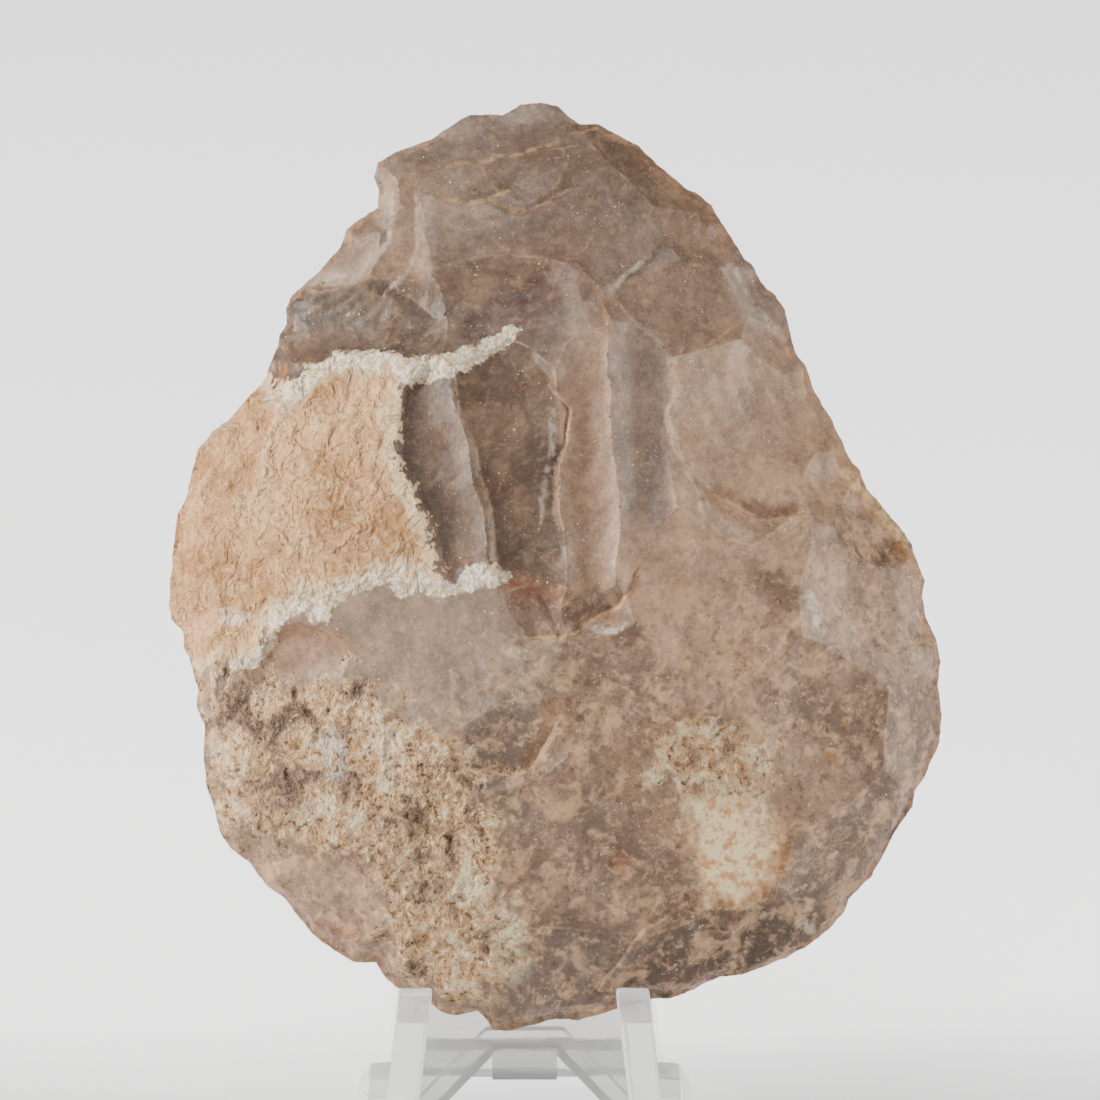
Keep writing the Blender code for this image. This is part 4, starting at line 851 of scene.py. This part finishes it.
# Masks of the other patches: name, wander of the border in millimetres, its noise, its softness
fine_grain = add(tree, "TexNoise", Vector=place, Scale=per_mm(1.6), Detail=3.0, Roughness=0.7)
broad_grain = add(tree, "TexNoise", Vector=place, Scale=per_mm(3.8), Detail=4.0, Roughness=0.66)
masks = {}
for name, wander, noise, soft in (
    ("cream", 2.4, broad_grain, 2.0), ("crust", 4.0, broad_grain, 1.2), ("chalk", 0.5, fine_grain, 0.3),
):
    wobble = add(tree, "MapRange", _0=noise, _1=0.3, _2=0.7, _3=-wander, _4=wander)
    inward = add(tree, "Attribute", "Fac", {"attribute_name": name})
    inward = add(tree, "Math", 0, PLUS, _0=inward, _1=wobble)
    masks[name] = add(tree, "MapRange", 0, EASED, _0=inward, _1=-soft, _2=soft)

# The cream patch: powdery, cream to white
powder = add(tree, "MapRange", 0, EASED, _0=fine_grain, _1=0.36, _2=0.55)
cream_colour = add(tree, "Mix", 2, COLOUR_MIX, _0=powder, _6=colour("#cf9a68"), _7=colour("#f8dfb2"))
surface = add(tree, "Mix", 2, COLOUR_MIX, _0=masks["cream"], _6=surface, _7=cream_colour)

# The crust: clusters of brown, grey, tan and orange, with painted shade in its crevices and white crystals
# on top
family = add(tree, "TexNoise", Vector=place, Scale=per_mm(6.0), Detail=4.0,
             Roughness=0.6, Distortion=0.6)
crust_ramp = tree.nodes.new("ShaderNodeValToRGB")
for index, (share, code) in enumerate((
    (0.36, "#6f5646"), (0.44, "#a07f64"), (0.49, "#caa17a"), (0.53, "#c69766"), (0.57, "#cfa880"),
    (0.66, "#eed6ae"),
)):
    stop = crust_ramp.color_ramp.elements[index] if index < 2 else crust_ramp.color_ramp.elements.new(share)
    stop.position = share
    stop.color = colour(code)
tree.links.new(family, crust_ramp.inputs[0])
crust_colour = crust_ramp.outputs[0]
grit = add(tree, "TexNoise", Vector=place, Scale=per_mm(1.1), Detail=3.0,
           Roughness=0.75, Distortion=0.4)
# Painted shade in the crevices: darker where the grit, and so the crust's relief, is lowest
crevice_shade = add(tree, "MapRange", 0, EASED, _0=grit, _1=0.33, _2=0.46, _3=0.88, _4=0.0)
crust_colour = add(tree, "Mix", 2, COLOUR_MIX, _0=crevice_shade, _6=crust_colour, _7=colour("#40302a"))
crystals = add(tree, "MapRange", 0, EASED, _0=grit, _1=0.50, _2=0.60)
white_zone = add(tree, "MapRange", 0, EASED, _0=zones, _1=0.42, _2=0.56, _3=0.18, _4=0.85)
crystals = add(tree, "Math", 0, TIMES, _0=crystals, _1=white_zone)
crust_colour = add(tree, "Mix", 2, COLOUR_MIX, _0=crystals, _6=crust_colour, _7=colour("#f0d9b4"))
surface = add(tree, "Mix", 2, COLOUR_MIX, _0=masks["crust"], _6=surface, _7=crust_colour)

# The chalk: white against the flint, worn thin where it runs out into the rind
worn_thin = add(tree, "MapRange", _0=fine_grain, _1=0.3, _2=0.7, _3=-3.0, _4=3.0)
worn_thin = add(tree, "Math", 0, PLUS, _0=rind_inward, _1=worn_thin)
worn_thin = add(tree, "MapRange", 0, EASED, _0=worn_thin, _1=1.5, _2=5.0, _3=1.0, _4=0.1)
chalk_mask = add(tree, "Math", 0, TIMES, _0=masks["chalk"], _1=worn_thin)
chalk_grain = add(tree, "TexNoise", Vector=place, Scale=per_mm(0.8), Detail=2.0, Roughness=0.7)
chalk_grain = add(tree, "MapRange", 0, EASED, _0=chalk_grain, _1=0.40, _2=0.60)
chalk_colour = add(tree, "Mix", 2, COLOUR_MIX, _0=chalk_grain, _6=colour("#d8b88e"), _7=colour("#f4ecdc"))
surface = add(tree, "Mix", 2, COLOUR_MIX, _0=chalk_mask, _6=surface, _7=chalk_colour)
# The accent marks from the mesh, painted highlights among them, broken up by the grain
accent_colour = add(tree, "VertexColor", "Color", {"layer_name": "accent"})
accent_share = add(tree, "VertexColor", "Alpha", {"layer_name": "accent"})
broken = add(tree, "MapRange", 0, EASED, _0=fine_grain, _1=0.40, _2=0.58, _3=0.12, _4=1.0)
accent_share = add(tree, "Math", 0, TIMES, _0=accent_share, _1=broken)
surface = add(tree, "Mix", 2, COLOUR_MIX, _0=accent_share, _6=surface, _7=accent_colour)
tree.links.new(surface, shader.inputs["Base Color"])

# Sheen: waxy on the flint, dull on rind and chalk, glinting on the crust
dull = add(tree, "Math", 0, {"operation": "MAXIMUM"}, _0=rind_mask, _1=chalk_mask)
gloss = add(tree, "MapRange", 0, EASED, _0=wear_grain, _1=0.3, _2=0.7, _3=0.34, _4=0.52)
gloss = add(tree, "Mix", 0, VALUE_MIX, _0=dull, _2=gloss, _3=0.9)
gloss = add(tree, "Mix", 0, VALUE_MIX, _0=masks["crust"], _2=gloss, _3=0.5)
tree.links.new(gloss, shader.inputs["Roughness"])
shine = add(tree, "Mix", 0, VALUE_MIX, _0=dull, _2=0.26, _3=0.08)
tree.links.new(shine, shader.inputs["Specular IOR Level"])
shader.inputs["IOR"].default_value = 1.54

# Relief, in metres: a faint grain on flint, worm-like bumps on the rind, rough crystals on the crust
flint_relief = add(tree, "Math", 0, SCALED, _0=wear_grain, _1=0.00014, _2=-0.00007)
rind_waves = add(tree, "TexNoise", Vector=place, Scale=per_mm(3.4), Detail=3.0,
                 Roughness=0.6, Distortion=0.6)
rind_relief = add(tree, "Math", 0, SCALED, _0=rind_waves, _1=0.0020, _2=-0.0010)
worm_relief = add(tree, "Math", 0, SCALED, _0=worm, _1=0.0005, _2=-0.00025)
rind_relief = add(tree, "Math", 0, PLUS, _0=rind_relief, _1=worm_relief)
crust_relief = add(tree, "Math", 0, SCALED, _0=grit, _1=0.0013, _2=-0.00065)
relief = add(tree, "Mix", 0, VALUE_MIX, _0=dull, _2=flint_relief, _3=rind_relief)
relief = add(tree, "Mix", 0, VALUE_MIX, _0=masks["crust"], _2=relief, _3=crust_relief)
bump = add(tree, "Bump", Strength=1.0, Distance=1.0, Height=relief)
tree.links.new(bump, shader.inputs["Normal"])
stone_mesh.materials.append(flint)
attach(stone, "root")
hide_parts("hand_axe")

# The easel
# One clear injection-moulded easel, with two hooked posts, a leaning panel with an arch under it,
# side feet and a low cross bar. It is the solid's own mesh, with a clear glossy plastic on it.

# Clear moulded plastic: see-through with a milky cast, very faint moulding waves and fine scuffs.
clear, tree, shader, place = start_material("clear_moulded_plastic")
shader.inputs["Base Color"].default_value = colour("#fbfcfc")
shader.inputs["Transmission Weight"].default_value = 0.62
shader.inputs["IOR"].default_value = 1.49
scuffs = add(tree, "TexNoise", Vector=place, Scale=per_mm(2.5), Detail=3.0, Roughness=0.7)
scuffs = add(tree, "MapRange", 0, EASED, _0=scuffs, _1=0.45, _2=0.75, _3=0.05, _4=0.20)
tree.links.new(scuffs, shader.inputs["Roughness"])
waves = add(tree, "TexNoise", Vector=place, Scale=per_mm(7.0), Detail=2.0)
waves = add(tree, "Math", 0, TIMES, _0=waves, _1=0.00012)
tree.links.new(add(tree, "Bump", Strength=0.5, Distance=1.0, Height=waves), shader.inputs["Normal"])
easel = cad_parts["display_easel"]
for slot in easel.material_slots:
    slot.material = clear

# The studio
# A pale floor, two tall soft lights at the sides, a weak one above, and the camera in front, a
# little above the axe's middle, looking nearly square at its face.
floor_mesh = bpy.data.meshes.new("studio_floor")
floor_mesh.from_pydata([(-2, -2, 0), (2, -2, 0), (2, 2, 0), (-2, 2, 0)], [], [(0, 1, 2, 3)])
floor = bpy.data.objects.new("studio_floor", floor_mesh)
bpy.context.scene.collection.objects.link(floor)

# White lit table: a white sheet that glows from below behind the axe, and is plain in front of it
glow, tree, shader, place = start_material("white_lit_table")
shader.inputs["Base Color"].default_value = colour("#e8e8e8")
shader.inputs["Roughness"].default_value = 0.6
shader.inputs["Emission Color"].default_value = colour("#ffffff")
table_depth = add(tree, "SeparateXYZ", "Y", None, _0=place)
glow_strength = add(tree, "MapRange", 0, EASED, _0=table_depth, _1=-0.05, _2=0.06, _3=0.2, _4=1.9)
tree.links.new(glow_strength, shader.inputs["Emission Strength"])
floor_mesh.materials.append(glow)

PHOTO_SIDE = 1100.0
PHOTO_AXE_LENGTH = 930.0
PHOTO_AIM = (-0.5, 51.5)
ELEVATION = math.radians(13.0)
CAMERA_DISTANCE = 0.9
SENSOR = 36.0
aim = np.array([PHOTO_AIM[0] * PERCENT, 0.0, PHOTO_AIM[1] * PERCENT]) @ lean.T + stone_shift
view_width = 100.0 * PERCENT * PHOTO_SIDE / PHOTO_AXE_LENGTH
camera_data = bpy.data.cameras.new("camera")
camera_data.sensor_width = SENSOR
camera_data.lens = SENSOR * CAMERA_DISTANCE / view_width
camera = bpy.data.objects.new("camera", camera_data)
bpy.context.scene.collection.objects.link(camera)
camera.location = Vector(aim) + CAMERA_DISTANCE * Vector((0.0, -math.cos(ELEVATION), math.sin(ELEVATION)))
camera.rotation_euler = (math.pi / 2 - ELEVATION, 0.0, 0.0)
bpy.context.scene.camera = camera


def soft_light(name, place, target, size, power, code):
    """A square soft light that faces a target."""
    data = bpy.data.lights.new(name, "AREA")
    data.shape = "RECTANGLE"
    data.size, data.size_y = size
    data.energy = power
    data.color = linear(code)
    light = bpy.data.objects.new(name, data)
    bpy.context.scene.collection.objects.link(light)
    light.location = place
    light.rotation_euler = (Vector(target) - Vector(place)).to_track_quat("-Z", "Y").to_euler()


soft_light("left_light", (-0.90, -0.22, 0.42), aim, (0.28, 0.6), 17.0, "#fffbf4")
soft_light("right_light", (0.90, -0.20, 0.30), aim, (0.28, 0.6), 8.0, "#fffbf4")
soft_light("top_light", (-0.15, -0.45, 0.95), aim, (0.4, 0.4), 4.0, "#ffffff")
world = bpy.data.worlds.new("studio_air")
world.use_nodes = True
world.node_tree.nodes["Background"].inputs["Color"].default_value = colour("#c9cbce")
world.node_tree.nodes["Background"].inputs["Strength"].default_value = 0.06
bpy.context.scene.world = world
